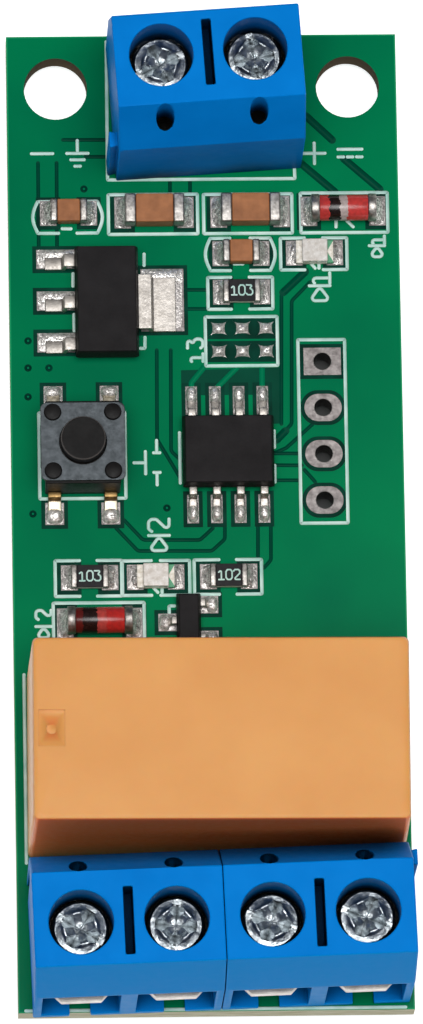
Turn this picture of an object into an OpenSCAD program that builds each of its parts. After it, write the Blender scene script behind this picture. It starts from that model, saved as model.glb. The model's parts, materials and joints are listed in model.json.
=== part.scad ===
// Relay module: a board with screw terminals, a sealed relay, a push button and chip parts.
// Origin: midway between the two mounting holes, on the underside of the board.
// +X runs along the short edge, +Y towards the supply terminal, +Z out of the component side.

/* [Board] */
// Thickness of the laminate
board_t = 1.6; // [1.0:0.1:2.4]
// Board left free beside the relay and the output terminals
side_margin = 0.5; // [0.3:0.1:3]
// Diameter of the mounting holes
hole_d = 3.4; // [2.2:0.1:4.2]
// Mounting hole centre from the long edges
hole_from_side = 2.63; // [2.2:0.01:3.4]
// Mounting hole centre from the short edge
hole_from_top = 2.92; // [2.2:0.01:5]
// Thickness of the tinned copper lands
land_t = 0.05; // [0.03:0.01:0.1]
// How far the pins stand out below the board
pin_tail = 1.4; // [1.0:0.1:2.4]
// Height of the solder around a pin below the board
joint_h = 0.9; // [0.5:0.05:0.95]
// Radial play of a pin in its board hole
pin_play = 0.1; // [0.05:0.01:0.2]
// Land left around a pin hole
pin_land_ring = 0.45; // [0.25:0.05:0.6]

/* [Layout from the supply edge down] */
// Supply terminal front from the edge
supply_inset = 0.35; // [0:0.05:2]
// Supply terminal to the capacitor row
capacitor_gap = 1.28; // [0.9:0.01:3]
// Capacitor row to the regulator
regulator_gap = 1.3; // [0.9:0.05:3]
// Regulator to the push button legs
button_gap = 1.82; // [1.2:0.01:4]
// Push button legs to the resistor row
resistor_gap = 2.95; // [2.0:0.05:5]
// Resistor row to the transistor
transistor_gap = 0.4; // [0.3:0.05:2]
// Transistor to the relay
relay_gap = 1.32; // [0.5:0.01:4]
// Relay to the output terminals
output_gap = 0.82; // [0.7:0.01:4]
// Output terminal front from the edge
output_inset = 0.06; // [0:0.01:2]
// Small capacitor and resistor below the capacitor row, gap between them
column_gap = 0.88; // [0.6:0.01:1.2]
// Resistor to the test lands below it
test_land_gap = 1.0; // [0.7:0.05:1.4]

/* [Layout across the board] */
// Sideways place of the supply terminal
supply_x = 0.04; // [-0.5:0.01:0.5]
// Turn of the supply terminal, as soldered
supply_turn = 3.6; // [0:0.1:4]
// Sideways place of the output terminals
output_x = 0.15; // [-0.5:0.01:0.5]
// Turn of the output terminals, as soldered
output_turn = 1.8; // [0:0.1:2]
// Sideways place of the relay
relay_x = 0.14; // [-0.4:0.01:0.4]
// Turn of the relay, as soldered
relay_turn = -0.4; // [-1:0.1:1]
// First capacitor from the left edge
first_capacitor_inset = 2.24; // [1.5:0.02:3]
// First to second capacitor
capacitor_step_1 = 2.0; // [1.4:0.05:3]
// Second to third capacitor
capacitor_step_2 = 1.96; // [1.4:0.02:3]
// Third capacitor to the diode
diode_step = 1.65; // [1.4:0.05:2.2]
// Middle column left of the third capacitor
column_shift = 0.53; // [0:0.01:1]
// Fourth capacitor to the first light
light_step = 1.95; // [1.5:0.05:2.6]
// Regulator leads from the left edge
regulator_inset = 1.92; // [1:0.02:2.6]
// Push button from the left edge
button_inset = 1.53; // [0.8:0.01:2.4]
// Push button to the controller
controller_step = 3.1; // [1.5:0.05:3.6]
// Controller below the push button's centre line
controller_drop = 0.15; // [0:0.01:0.6]
// Controller to the header holes
header_step = 2.7; // [2:0.05:3.2]
// Header holes above the push button's centre line
header_rise = 1.12; // [0:0.02:2]
// First resistor of the lower row from the left edge
resistor_inset = 3.1; // [2:0.05:3.6]
// Lower resistor to the second light
lower_step_1 = 1.52; // [1.2:0.02:2.4]
// Second light to the last resistor
lower_step_2 = 1.9; // [1.2:0.05:2.8]
// Second diode from the left edge
lower_diode_inset = 2.85; // [1.5:0.05:3.2]
// Second diode to the transistor
transistor_step = 1.78; // [1.2:0.02:2.6]

/* [Header holes and test lands] */
// Number of header holes
header_count = 4; // [2:1:4]
// Header hole pitch
header_pitch = 2.54; // [2.0:0.01:2.8]
// Header hole diameter
header_d = 1.0; // [0.7:0.05:1.2]
// Header land length
header_land_l = 2.0; // [1.9:0.05:2.4]
// Header land width
header_land_w = 1.5; // [1.3:0.05:1.7]
// Test land pitch
test_pitch = 1.27; // [1.1:0.01:1.5]
// Test land length
test_land_l = 0.86; // [0.5:0.02:1.0]
// Test land width
test_land_w = 0.74; // [0.5:0.02:1.0]

/* [Screw terminals] */
// Distance between poles
pitch = 5.0; // [4.6:0.02:5.4]
// Height above the board
block_h = 10.0; // [9.4:0.1:12]
// Depth from wire side to back
block_depth = 7.4; // [7.2:0.1:9]
// Height of the upright wire side
front_slope_z = 6.0; // [5.8:0.1:7]
// Run of the slope above the wire side
front_slope_run = 0.9; // [0.4:0.05:1.2]
// Height of the upright back
back_slope_z = 6.5; // [5.5:0.1:7.5]
// Run of the slope above the back
back_slope_run = 1.5; // [1.0:0.05:1.7]
// Screw axis behind the wire side
screw_from_front = 3.2; // [3.0:0.05:3.4]
// Wall between two clamp pockets
divider_w = 0.9; // [0.7:0.05:1.4]
// Housing floor
floor_t = 0.5; // [0.3:0.05:0.8]
// Top of the wire opening
opening_top = 5.6; // [5.2:0.05:5.75]
// Width of the notch in the floor at the wire side
notch_w = 1.1; // [0.8:0.1:2.4]
// Depth of that notch
notch_l = 1.1; // [0.5:0.1:1.3]
// Depth of the slot between the screws
slot_depth = 2.2; // [1:0.1:2.6]
// Width of that slot
slot_w = 0.5; // [0.3:0.05:0.7]
// Length of that slot
slot_l = 3.6; // [2:0.1:4.4]
// Probe hole diameter
probe_d = 0.95; // [0.5:0.05:1.1]
// Probe hole from the top edge of the back slope
probe_from_edge = 0.45; // [0.2:0.05:0.6]
// Joining rail, how far it stands out
rail_out = 0.45; // [0.3:0.05:0.5]
// Joining rail, width at its outer face
rail_w = 0.9; // [0.6:0.05:1.0]
// Joining rail, how much narrower at its root
rail_undercut = 0.1; // [0.05:0.01:0.2]
// Joining rail, height
rail_h = 6.2; // [4:0.1:6.4]
// Joining rail, wall behind it
rail_from_back = 0.3; // [0.2:0.05:0.4]
// Gap between two blocks side by side
block_play = 0.02; // [0.01:0.01:0.05]
// Play between joined pieces
fit = 0.05; // [0.03:0.01:0.08]

/* [Clamps] */
// Diameter of the screw head
head_d = 3.0; // [2.6:0.05:3.2]
// Thickness of the screw head
head_t = 1.1; // [0.8:0.05:1.4]
// Diameter of the screw thread
thread_d = 2.4; // [1.8:0.05:2.5]
// Radial play of the screw in the clamp cage
thread_play = 0.04; // [0.02:0.01:0.08]
// Radial play of the head in its hole
head_play = 0.2; // [0.1:0.02:0.3]
// Width of the driver slot and cross
drive_w = 0.5; // [0.3:0.05:0.7]
// Depth of the driver slot and cross
drive_depth = 0.5; // [0.3:0.05:0.7]
// Length of the cross arm
drive_cross_l = 2.0; // [1.4:0.1:2.4]
// Height left for the wire when open
wire_gap = 2.25; // [1.8:0.05:2.5]
// Rise of the clamp cage from open to closed
clamp_travel = 1.9; // [1.2:0.05:2.0]
// Contact strip thickness
strip_t = 0.8; // [0.5:0.05:0.9]
// Chamfer on the strip's front corners
strip_chamfer = 0.4; // [0.2:0.05:0.6]
// Clamp cage side wall
cage_wall = 0.4; // [0.3:0.05:0.6]
// Clamp cage floor
cage_floor_t = 0.6; // [0.4:0.05:0.8]
// Clamp cage nut plate
nut_t = 0.9; // [0.6:0.05:1.0]
// Clamp cage length along the wire
cage_l = 3.6; // [3.0:0.1:3.8]
// Play of the clamp cage in its pocket
cage_play = 0.15; // [0.1:0.01:0.25]
// Solder pin width
pin_w = 1.0; // [0.7:0.05:1.2]

/* [Relay] */
// Length of the case
relay_l = 20.0; // [19:0.1:24]
// Width of the case
relay_w = 10.0; // [9.8:0.1:12]
// Height of the case above the board
relay_h = 10.0; // [9.4:0.1:13]
// Wall of the case
relay_wall = 0.5; // [0.4:0.05:0.8]
// Lean of each case wall
relay_draft = 0.12; // [0.05:0.01:0.2]
// Corner radius of the case
relay_round = 0.3; // [0.2:0.05:1]
// Rounding of the top edges
relay_edge = 0.25; // [0.1:0.05:0.4]
// Length of the recessed mark on the top
mark_l = 1.4; // [1:0.05:2.4]
// Width of that mark
mark_w = 1.95; // [1:0.05:2.4]
// Depth of that mark
mark_depth = 0.12; // [0.05:0.01:0.2]
// Mark from the rounded end of the top
mark_inset = 0.05; // [0.05:0.05:1]
// Dimple in the mark
mark_dimple_d = 0.6; // [0.3:0.05:0.9]
// Base plate above the board
base_lift = 0.3; // [0.1:0.05:0.5]
// Base plate thickness
base_t = 1.2; // [0.8:0.1:1.6]
// Pin row spacing
pin_rows = 7.62; // [7.4:0.01:7.8]
// End pins from the end of the case
pin_from_end = 1.11; // [1.05:0.01:1.6]
// Step between contact pins
contact_step = 5.08; // [4.6:0.02:5.2]
// Relay pin width
relay_pin_w = 0.6; // [0.5:0.05:0.85]
// Relay pin thickness
relay_pin_t = 0.4; // [0.3:0.05:0.5]
// Iron strap thickness
yoke_t = 0.8; // [0.6:0.05:1.0]
// Iron strap width
yoke_w = 5.0; // [4:0.1:6]
// Air over the strap
roof_gap = 0.5; // [0.2:0.05:0.6]
// Flange thickness
flange_t = 0.5; // [0.4:0.05:0.7]
// Bobbin tube wall
tube_wall = 0.35; // [0.25:0.05:0.5]
// Radial build of the winding
winding_build = 1.25; // [0.8:0.05:1.5]
// Core diameter
core_d = 2.2; // [1.8:0.1:2.6]
// Pole face diameter
pole_d = 3.6; // [2.8:0.1:4]
// Pole face thickness
pole_t = 0.5; // [0.3:0.05:0.7]
// Armature thickness
armature_t = 0.7; // [0.5:0.05:0.9]
// Pull-in angle of the armature
armature_swing = 3; // [1:0.1:3]
// Carrier clear of the contact pins beside it
carrier_clear = 1.43; // [0.4:0.01:2.5]
// Carrier length
carrier_l = 1.1; // [0.9:0.05:1.4]
// Carrier height
carrier_h = 1.5; // [1.0:0.1:2.0]
// Carrier width
carrier_w = 6.0; // [5.8:0.1:6.6]
// Contact blade thickness
blade_t = 0.15; // [0.1:0.01:0.2]
// Contact blade width
blade_w = 1.2; // [0.9:0.05:1.3]
// Distance between the two blades
blade_rows = 4.6; // [4.2:0.05:4.7]
// Contact button diameter
contact_d = 0.9; // [0.6:0.05:1.1]
// Contact button thickness
contact_t = 0.25; // [0.15:0.01:0.3]
// Contact arm thickness
arm_t = 0.25; // [0.2:0.01:0.35]
// Coil flange in from the pins
flange_clear = 0.4; // [0.2:0.05:0.8]
// Iron strap in from the case end
yoke_inset = 0.55; // [0.3:0.05:0.6]
// Gap between the strap and the armature
yoke_gap = 0.15; // [0.1:0.01:0.2]
// Armature longer than the pole face
armature_over = 0.4; // [0.2:0.05:0.6]
// Blades above the coil axis
blade_rise = 1.7; // [1.5:0.05:1.9]
// Blade root inside the carrier
blade_root = 0.75; // [0.5:0.05:0.8]
// Coil and common pins above the base plate
post_h = 0.9; // [0.5:0.05:1.2]
// Contacts in from the end pins
contact_inset = 1.3; // [1.1:0.05:1.6]

/* [Push button] */
// Side of the square body
button_w = 4.5; // [4.3:0.05:5]
// Height of the plastic base
button_h = 2.7; // [2.5:0.05:3.4]
// Base above the board
button_lift = 0.1; // [0.05:0.01:0.2]
// Cover plate thickness
cover_t = 0.2; // [0.15:0.01:0.3]
// Cover plate set in from the base
cover_inset = 0.12; // [0.02:0.01:0.15]
// Cover clips, length down the side
clip_h = 1.4; // [0.8:0.05:1.9]
// Cover clips, width
clip_w = 2.2; // [1.6:0.05:2.4]
// Plunger diameter
plunger_d = 2.4; // [2.0:0.05:2.5]
// Plunger top above the cover
plunger_rise = 0.8; // [0.5:0.05:2]
// Plunger flange diameter
plunger_flange_d = 3.2; // [2.9:0.05:3.3]
// Plunger flange thickness
plunger_flange_t = 0.7; // [0.5:0.05:0.8]
// Plunger travel
plunger_travel = 0.25; // [0.15:0.01:0.3]
// Radial play of the plunger
plunger_play = 0.06; // [0.03:0.01:0.1]
// Well floor above the board
well_floor = 0.9; // [0.7:0.05:1.0]
// Well diameter
well_d = 3.5; // [3.35:0.05:3.6]
// Snap dome sheet
dome_t = 0.08; // [0.05:0.01:0.1]
// Height left under the snap dome when pressed
dome_rest = 0.09; // [0.05:0.01:0.15]
// Corner rivet diameter
rivet_d = 0.9; // [0.7:0.05:1.0]
// Corner rivets from the centre lines
rivet_offset = 1.6; // [1.56:0.01:1.66]
// Corner rivet height over the cover
rivet_rise = 0.12; // [0.05:0.01:0.2]
// Leg span from tip to tip
button_span = 6.5; // [6.2:0.05:7.2]
// Distance between neighbouring legs
button_leg_step = 3.0; // [2.6:0.05:3.2]
// Leg width
button_leg_w = 0.7; // [0.5:0.05:0.9]
// Leg sheet
button_leg_t = 0.2; // [0.15:0.01:0.25]
// Leg root above the lands
button_leg_root_h = 0.45; // [0.3:0.01:0.6]
// Leg shoulder out from the body
button_shoulder_l = 0.22; // [0.15:0.01:0.3]
// Snap dome rim in from the plunger flange
dome_inset = 0.1; // [0.05:0.01:0.2]

/* [Packages] */
// Regulator body length
regulator_l = 6.05; // [6.0:0.05:7]
// Regulator body width
regulator_w = 3.4; // [3.2:0.05:4]
// Regulator body height
regulator_h = 1.6; // [1.4:0.05:1.9]
// Regulator span over leads and tab
regulator_span = 7.0; // [6.7:0.05:7.6]
// Regulator body off the middle of its span, towards the leads
regulator_off = 0.22; // [0:0.02:0.3]
// Regulator lead step
regulator_step = 2.3; // [2.1:0.02:2.4]
// Regulator lead width
regulator_lead_w = 0.7; // [0.5:0.05:0.9]
// Regulator tab width
regulator_tab_w = 3.0; // [2.6:0.05:3.4]
// Controller body length
controller_l = 4.9; // [4.7:0.05:5.4]
// Controller body width
controller_w = 3.9; // [3.6:0.05:4.1]
// Controller body height
controller_h = 1.45; // [1.2:0.05:1.8]
// Controller span over its leads
controller_span = 6.0; // [5.8:0.05:6.4]
// Controller lead step
controller_lead_step = 1.27; // [1.1:0.01:1.35]
// Controller lead width
controller_lead_w = 0.42; // [0.3:0.02:0.5]
// Transistor body length
transistor_l = 2.9; // [2.7:0.05:3.2]
// Transistor body width
transistor_w = 1.3; // [1.1:0.05:1.5]
// Transistor body height
transistor_h = 0.95; // [0.8:0.05:1.2]
// Transistor span over its leads
transistor_span = 2.4; // [2.2:0.05:2.8]
// Transistor lead step
transistor_step_y = 1.9; // [1.7:0.05:2.0]
// Transistor lead width
transistor_lead_w = 0.42; // [0.3:0.02:0.55]
// Lead sheet of the packages
lead_t = 0.2; // [0.12:0.01:0.28]
// Lean of the bent leads
lead_lean_l = 0.1; // [0.05:0.01:0.15]
// Lead shoulder out from the body, as a share of the lead's reach
lead_shoulder = 0.3; // [0.25:0.01:0.4]
// Lean of the moulded sides
mould_draft = 0.14; // [0.05:0.01:0.2]
// Body above the lands
body_lift = 0.06; // [0.03:0.01:0.12]

/* [Lands of the leaded parts] */
// Controller land length
controller_land_l = 1.55; // [1.2:0.05:1.8]
// Controller land width
controller_land_w = 0.62; // [0.45:0.02:0.8]
// Controller land beyond the lead tip
controller_land_out = 0.75; // [0.3:0.05:0.9]
// Regulator land length
regulator_land_l = 2.1; // [1.6:0.05:2.4]
// Regulator land width
regulator_land_w = 1.06; // [0.8:0.02:1.3]
// Regulator land beyond the lead tip
regulator_land_out = 0.44; // [0.3:0.02:0.6]
// Tab land length
tab_land_l = 2.3; // [1.8:0.05:2.6]
// Tab land wider than the tab, each side
tab_land_side = 0.22; // [0.1:0.02:0.4]
// Regulator lands off the centre lines of the leads and the tab
regulator_land_shift = 0.28; // [0:0.02:0.4]
// Button lands off the button's centre line
button_land_shift = -0.12; // [-0.2:0.02:0.2]
// Button land length
button_land_l = 1.2; // [0.8:0.05:1.4]
// Button land beyond the leg tip
button_land_out = 0.55; // [0.2:0.05:0.6]
// Button land wider than the leg, each side
button_land_side = 0.15; // [0.05:0.05:0.3]
// Transistor land length
transistor_land_l = 1.0; // [0.8:0.05:1.2]
// Transistor land width
transistor_land_w = 0.95; // [0.7:0.05:1.1]
// Transistor land beyond the lead tip
transistor_land_out = 0.4; // [0.2:0.05:0.6]

/* [Chip parts] */
// Small chip length
chip_l = 2.0; // [1.8:0.05:2.2]
// Small chip width
chip_w = 1.25; // [1.1:0.05:1.4]
// Large capacitor length
large_l = 3.2; // [2.9:0.05:3.5]
// Large capacitor width
large_w = 1.6; // [1.4:0.05:1.8]
// Large capacitor height
large_h = 1.2; // [0.8:0.05:1.6]
// Small capacitor height
small_h = 0.85; // [0.6:0.05:1.2]
// Resistor height
resistor_h = 0.5; // [0.4:0.02:0.6]
// Metal end of a large capacitor
large_end = 0.6; // [0.3:0.01:0.8]
// Metal end of a small capacitor
small_end = 0.4; // [0.3:0.01:0.6]
// Metal end of a resistor
resistor_end = 0.32; // [0.25:0.01:0.5]
// How far the metal ends stand proud of the body
end_proud = 0.02; // [0.01:0.01:0.05]
// Light base height
light_base_h = 0.35; // [0.25:0.05:0.5]
// Light lens height
light_lens_h = 0.4; // [0.25:0.05:0.6]
// Light lens length
light_lens_l = 1.35; // [1.1:0.05:1.5]
// Diode length over the caps
diode_l = 3.5; // [3.2:0.05:3.8]
// Diode cap diameter
diode_d = 1.5; // [1.3:0.05:1.6]
// Diode cap length
diode_cap_l = 0.45; // [0.35:0.05:0.6]
// Diode glass smaller than the caps
diode_neck = 0.05; // [0.02:0.01:0.1]
// Land beyond the end of a chip
land_out = 0.53; // [0.3:0.01:0.6]
// Land under the end of a chip
land_in = 0.35; // [0.25:0.01:0.45]
// Land wider than its part
land_side = 0.06; // [0.02:0.01:0.12]

/* [Hidden] */
$fn = 32;
eps = 0.01;
joint_seat = 0.02;

// Places, from the supply edge down to the output edge
board_w = max(relay_l, 4 * pitch) + 2 * side_margin;
left_edge = -board_w / 2;
top_edge = hole_from_top;
supply_y = top_edge - supply_inset - screw_from_front;
capacitor_y = top_edge - supply_inset - block_depth - capacitor_gap - large_w / 2;
regulator_y = capacitor_y - large_w / 2 - regulator_gap - regulator_l / 2;
button_y = regulator_y - regulator_l / 2 - button_gap - button_span / 2;
resistor_y = button_y - button_span / 2 - resistor_gap - chip_w / 2;
transistor_y = resistor_y - chip_w / 2 - transistor_gap - transistor_l / 2;
relay_y = transistor_y - transistor_l / 2 - relay_gap - relay_w / 2;
output_back = relay_y - relay_w / 2 - output_gap;
output_y = output_back - block_depth + screw_from_front;
bottom_edge = output_back - block_depth - output_inset;
board_l = top_edge - bottom_edge;
column_y = capacitor_y - large_w / 2 - column_gap - chip_w / 2;
column_resistor_y = column_y - chip_w - column_gap;
test_y = column_resistor_y - chip_w / 2 - test_land_gap - (test_pitch + test_land_w) / 2;
controller_y = button_y - controller_drop;
header_y = button_y + header_rise;

// Places across the board
capacitor_1_x = left_edge + first_capacitor_inset + chip_l / 2;
capacitor_2_x = capacitor_1_x + chip_l / 2 + capacitor_step_1 + large_l / 2;
capacitor_3_x = capacitor_2_x + large_l + capacitor_step_2;
diode_1_x = capacitor_3_x + large_l / 2 + diode_step + diode_l / 2;
column_x = capacitor_3_x - column_shift;
light_1_x = column_x + chip_l + light_step;
regulator_x = left_edge + regulator_inset + regulator_span / 2;
button_x = left_edge + button_inset + button_w / 2;
controller_x = button_x + button_w / 2 + controller_step + controller_l / 2;
header_x = controller_x + controller_l / 2 + header_step;
resistor_2_x = left_edge + resistor_inset + chip_l / 2;
light_2_x = resistor_2_x + chip_l + lower_step_1;
resistor_3_x = light_2_x + chip_l + lower_step_2;
diode_2_x = left_edge + lower_diode_inset + diode_l / 2;
transistor_x = diode_2_x + diode_l / 2 + transistor_step + transistor_span / 2;
hole_x = board_w / 2 - hole_from_side;

// Screw terminal sizes, from the screw axis and the board's top face
block_w = 2 * pitch - block_play;
block_front = -screw_from_front;
block_back = block_depth - screw_from_front;
pocket_w = pitch - divider_w;
cage_w = pocket_w - 2 * cage_play;
strip_w = cage_w - 2 * cage_wall - 2 * fit;
cage_z = floor_t + fit;
strip_z = cage_z + cage_floor_t + wire_gap;
strip_top = strip_z + strip_t;
nut_z = strip_top + fit;
head_z = nut_z + nut_t + clamp_travel + fit;
pocket_top = head_z + fit;
leg_y = cage_l / 2 + cage_play + fit;
pocket_back = leg_y + strip_t + 2 * fit;
pin_y = leg_y + strip_t / 2;
probe_y = block_back - back_slope_run + probe_from_edge;
probe_floor = strip_top;
rail_y = block_back - rail_from_back - rail_w / 2;
thread_r = thread_d / 2;

// Relay sizes, from the middle of the case and the board's top face
inner_l = relay_l - 2 * relay_wall - 2 * relay_draft;
inner_w = relay_w - 2 * relay_wall - 2 * relay_draft;
base_top = base_lift + base_t;
roof = relay_h - relay_wall;
open_pin_x = relay_l / 2 - pin_from_end;
closed_pin_x = open_pin_x - contact_step;
common_pin_x = closed_pin_x - contact_step;
coil_pin_x = -open_pin_x;
contact_x = open_pin_x - contact_inset;
yoke_top = roof - roof_gap;
yoke_leg_z = yoke_top - yoke_t;
pivot_z = yoke_leg_z + yoke_t / 2;
flange_top = yoke_leg_z - fit;
flange_h = flange_top - base_top;
flange_w = pin_rows - relay_pin_t - 2 * flange_clear;
coil_z = base_top + flange_h / 2;
tube_r = core_d / 2 + fit + tube_wall;
winding_r = tube_r + winding_build;
carrier_x = closed_pin_x - relay_pin_w / 2 - carrier_clear - carrier_l;
armature_x = carrier_x - armature_t;
pole_gap = (pivot_z - coil_z + pole_d / 2) * tan(armature_swing) + joint_seat;
pole_x = armature_x - pole_gap - pole_t;
yoke_end = armature_x - yoke_gap;
yoke_x = -inner_l / 2 + yoke_inset;
flange_x = yoke_x + yoke_t + fit;
coil_x = flange_x + flange_t;
coil_l = pole_x - fit - flange_t - coil_x;
blade_z = coil_z + blade_rise;
blade_top = blade_z + blade_t;
contact_gap = (contact_x + contact_d / 2 - armature_x) * sin(armature_swing) + fit;
closed_arm_z = blade_top + contact_t + fit + contact_t;
open_arm_top = blade_z - contact_t - contact_gap - contact_t;

// Push button sizes, from its centre and the board's top face
cover_top = button_h + cover_t;
plunger_top = cover_top + plunger_rise;
flange_roof = button_h - fit;
dome_h = plunger_travel + dome_rest + dome_t;
dome_top = well_floor + dome_h;

// Two poles of a block, and the two blocks of the output
poles = [-pitch / 2, pitch / 2];
output_blocks = [-pitch, pitch];
header_ys = [for (i = [0 : header_count - 1]) header_y + ((header_count - 1) / 2 - i) * header_pitch];
small_spots = [[capacitor_1_x, capacitor_y], [column_x, column_y]];
large_spots = [[capacitor_2_x, capacitor_y], [capacitor_3_x, capacitor_y]];
resistor_spots = [[column_x, column_resistor_y], [resistor_2_x, resistor_y], [resistor_3_x, resistor_y]];
light_spots = [[light_1_x, column_y], [light_2_x, resistor_y]];
diode_spots = [[diode_1_x, capacitor_y], [diode_2_x, transistor_y]];
relay_pin_spots = [for (x = [coil_pin_x, common_pin_x, closed_pin_x, open_pin_x])
    for (side = [-1, 1]) [x, side * pin_rows / 2]];

// Frames that the pieces are drawn in
module on_board(spot) {
    translate([spot[0], spot[1], board_t]) children();
}

module on_land(spot) {
    translate([spot[0], spot[1], board_t + land_t]) children();
}

module in_supply() {
    on_board([supply_x, supply_y]) rotate([0, 0, 180 + supply_turn]) children();
}

module in_output() {
    on_board([output_x, output_y]) rotate([0, 0, output_turn]) children();
}

module in_relay() {
    on_board([relay_x, relay_y]) rotate([0, 0, relay_turn]) children();
}

// A box centred on X and Y that stands on z
module block(size, z = 0) {
    translate([-size[0] / 2, -size[1] / 2, z]) cube(size);
}

// Every through-hole pin of the terminals: children are drawn at the pin, on the board's top
module at_terminal_pins() {
    in_supply() for (x = poles) translate([x, pin_y, 0]) children();
    in_output() for (b = output_blocks) for (x = poles) translate([b + x, pin_y, 0]) children();
}

module at_relay_pins() {
    in_relay() for (p = relay_pin_spots) translate([p[0], p[1], 0]) children();
}

// Half diagonals of the two kinds of pin
terminal_pin_r = norm([pin_w, strip_t]) / 2;
relay_pin_r = norm([relay_pin_w, relay_pin_t]) / 2;

// Laminate with its drilled holes
module circuit_board() {
    color("seagreen") difference() {
        translate([left_edge, bottom_edge, 0]) cube([board_w, board_l, board_t]);
        for (x = [-hole_x, hole_x]) translate([x, 0, -eps]) cylinder(d = hole_d, h = board_t + 2 * eps);
        for (y = header_ys) translate([header_x, y, -eps]) cylinder(d = header_d, h = board_t + 2 * eps);
        at_terminal_pins() board_drill(terminal_pin_r + pin_play);
        at_relay_pins() board_drill(relay_pin_r + pin_play);
    }
}

module board_drill(r) {
    translate([0, 0, -board_t - eps]) cylinder(r = r, h = board_t + 2 * eps);
}

// Land centres of the leaded packages, from the package's own centre
controller_land_y = controller_span / 2 + controller_land_out - controller_land_l / 2;
regulator_land_x = regulator_span / 2 + regulator_land_out - regulator_land_l / 2;
tab_land_x = regulator_span / 2 + regulator_land_out - tab_land_l / 2;
button_land_y = button_span / 2 + button_land_out - button_land_l / 2;
transistor_land_x = transistor_span / 2 + transistor_land_out - transistor_land_l / 2;

// Flat tinned areas: one land is [x, y, length, width]
function chip_lands(spot, l, w, inside = land_in) = [for (side = [-1, 1])
    [spot[0] + side * (l / 2 + (land_out - inside) / 2), spot[1], land_out + inside, w + 2 * land_side]];
lands = concat(
    [for (s = small_spots) each chip_lands(s, chip_l, chip_w)],
    [for (s = large_spots) each chip_lands(s, large_l, large_w)],
    [for (s = resistor_spots) each chip_lands(s, chip_l, chip_w)],
    [for (s = light_spots) each chip_lands(s, chip_l, chip_w)],
    [for (s = diode_spots) each chip_lands(s, diode_l, diode_d)],
    [for (i = [-1, 0, 1]) for (j = [-0.5, 0.5])
        [column_x + i * test_pitch, test_y + j * test_pitch, test_land_l, test_land_w]],
    [for (i = [-1.5 : 1.5]) for (side = [-1, 1])
        [controller_x + i * controller_lead_step, controller_y + side * controller_land_y,
            controller_land_w, controller_land_l]],
    [for (i = [-1, 0, 1])
        [regulator_x - regulator_land_x, regulator_y + regulator_land_shift + i * regulator_step,
            regulator_land_l, regulator_land_w]],
    [[regulator_x + tab_land_x, regulator_y + regulator_land_shift,
        tab_land_l, regulator_tab_w + 2 * tab_land_side]],
    [for (i = [-0.5, 0.5]) for (side = [-1, 1])
        [button_x + i * button_leg_step, button_y + button_land_shift + side * button_land_y,
            button_leg_w + 2 * button_land_side, button_land_l]],
    [for (side = [-0.5, 0.5])
        [transistor_x + transistor_land_x, transistor_y + side * transistor_step_y,
            transistor_land_l, transistor_land_w]],
    [[transistor_x - transistor_land_x, transistor_y, transistor_land_l, transistor_land_w]]
);

module header_land(square_land) {
    difference() {
        if (square_land) block([header_land_l, header_land_w, land_t]);
        else {
            block([header_land_l - header_land_w, header_land_w, land_t]);
            for (side = [-1, 1]) translate([side * (header_land_l - header_land_w) / 2, 0, 0])
                cylinder(d = header_land_w, h = land_t);
        }
        translate([0, 0, -eps]) cylinder(d = header_d, h = land_t + 2 * eps);
    }
}

module pin_land(r) {
    translate([0, 0, -board_t - land_t]) difference() {
        cylinder(r = r + pin_play + pin_land_ring, h = land_t);
        translate([0, 0, -eps]) cylinder(r = r + pin_play, h = land_t + 2 * eps);
    }
}

module solder_lands() {
    color("gainsboro") {
        for (a = lands) on_board(a) block([a[2], a[3], land_t]);
        for (z = [-land_t, board_t]) for (i = [0 : header_count - 1])
            translate([header_x, header_ys[i], z]) header_land(i == 0);
        at_terminal_pins() pin_land(terminal_pin_r);
        at_relay_pins() pin_land(relay_pin_r);
    }
}

// Solder drawn up around each pin under the board
module solder_cone(r, w, t) {
    translate([0, 0, -board_t - land_t - joint_h]) difference() {
        cylinder(r1 = r + fit, r2 = r + pin_play + pin_land_ring - fit, h = joint_h);
        block([w, t, joint_h + 2 * eps], -eps);
    }
}

module solder_joints() {
    color("silver") {
        at_terminal_pins() solder_cone(terminal_pin_r, pin_w, strip_t);
        at_relay_pins() solder_cone(relay_pin_r, relay_pin_w, relay_pin_t);
    }
}

// Screw terminal pieces, drawn about the middle of a block of two poles
module rail_outline(play) {
    half = rail_w / 2 + play;
    polygon([
        [-eps, rail_y - half + rail_undercut], [rail_out + play, rail_y - half],
        [rail_out + play, rail_y + half], [-eps, rail_y + half - rail_undercut]
    ]);
}

module terminal_housing() {
    color("dodgerblue") difference() {
        union() {
            translate([-block_w / 2, 0, 0]) rotate([90, 0, 90]) linear_extrude(block_w) polygon([
                [block_front, 0], [block_front, front_slope_z],
                [block_front + front_slope_run, block_h], [block_back - back_slope_run, block_h],
                [block_back, back_slope_z], [block_back, 0]
            ]);
            translate([block_w / 2, 0, 0]) linear_extrude(rail_h) rail_outline(0);
        }
        translate([-block_w / 2, 0, -eps]) linear_extrude(rail_h + fit) rail_outline(fit);
        for (x = poles) translate([x, 0, 0]) pole_cuts();
        block([slot_w, slot_l, slot_depth + eps], block_h - slot_depth);
    }
}

module pole_cuts() {
    translate([-pocket_w / 2, -cage_l / 2 - cage_play, floor_t])
        cube([pocket_w, pocket_back + cage_l / 2 + cage_play, pocket_top - floor_t]);
    translate([-pocket_w / 2, block_front - eps, floor_t])
        cube([pocket_w, screw_from_front, opening_top - floor_t]);
    translate([-notch_w / 2, block_front - eps, -eps]) cube([notch_w, notch_l, floor_t + 2 * eps]);
    cylinder(r = head_d / 2 + head_play, h = block_h + eps);
    translate([0, probe_y, probe_floor]) cylinder(d = probe_d, h = block_h);
    translate([0, pin_y, 0]) block([pin_w + 2 * fit, strip_t + 2 * fit, floor_t + 2 * eps], -eps);
}

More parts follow.
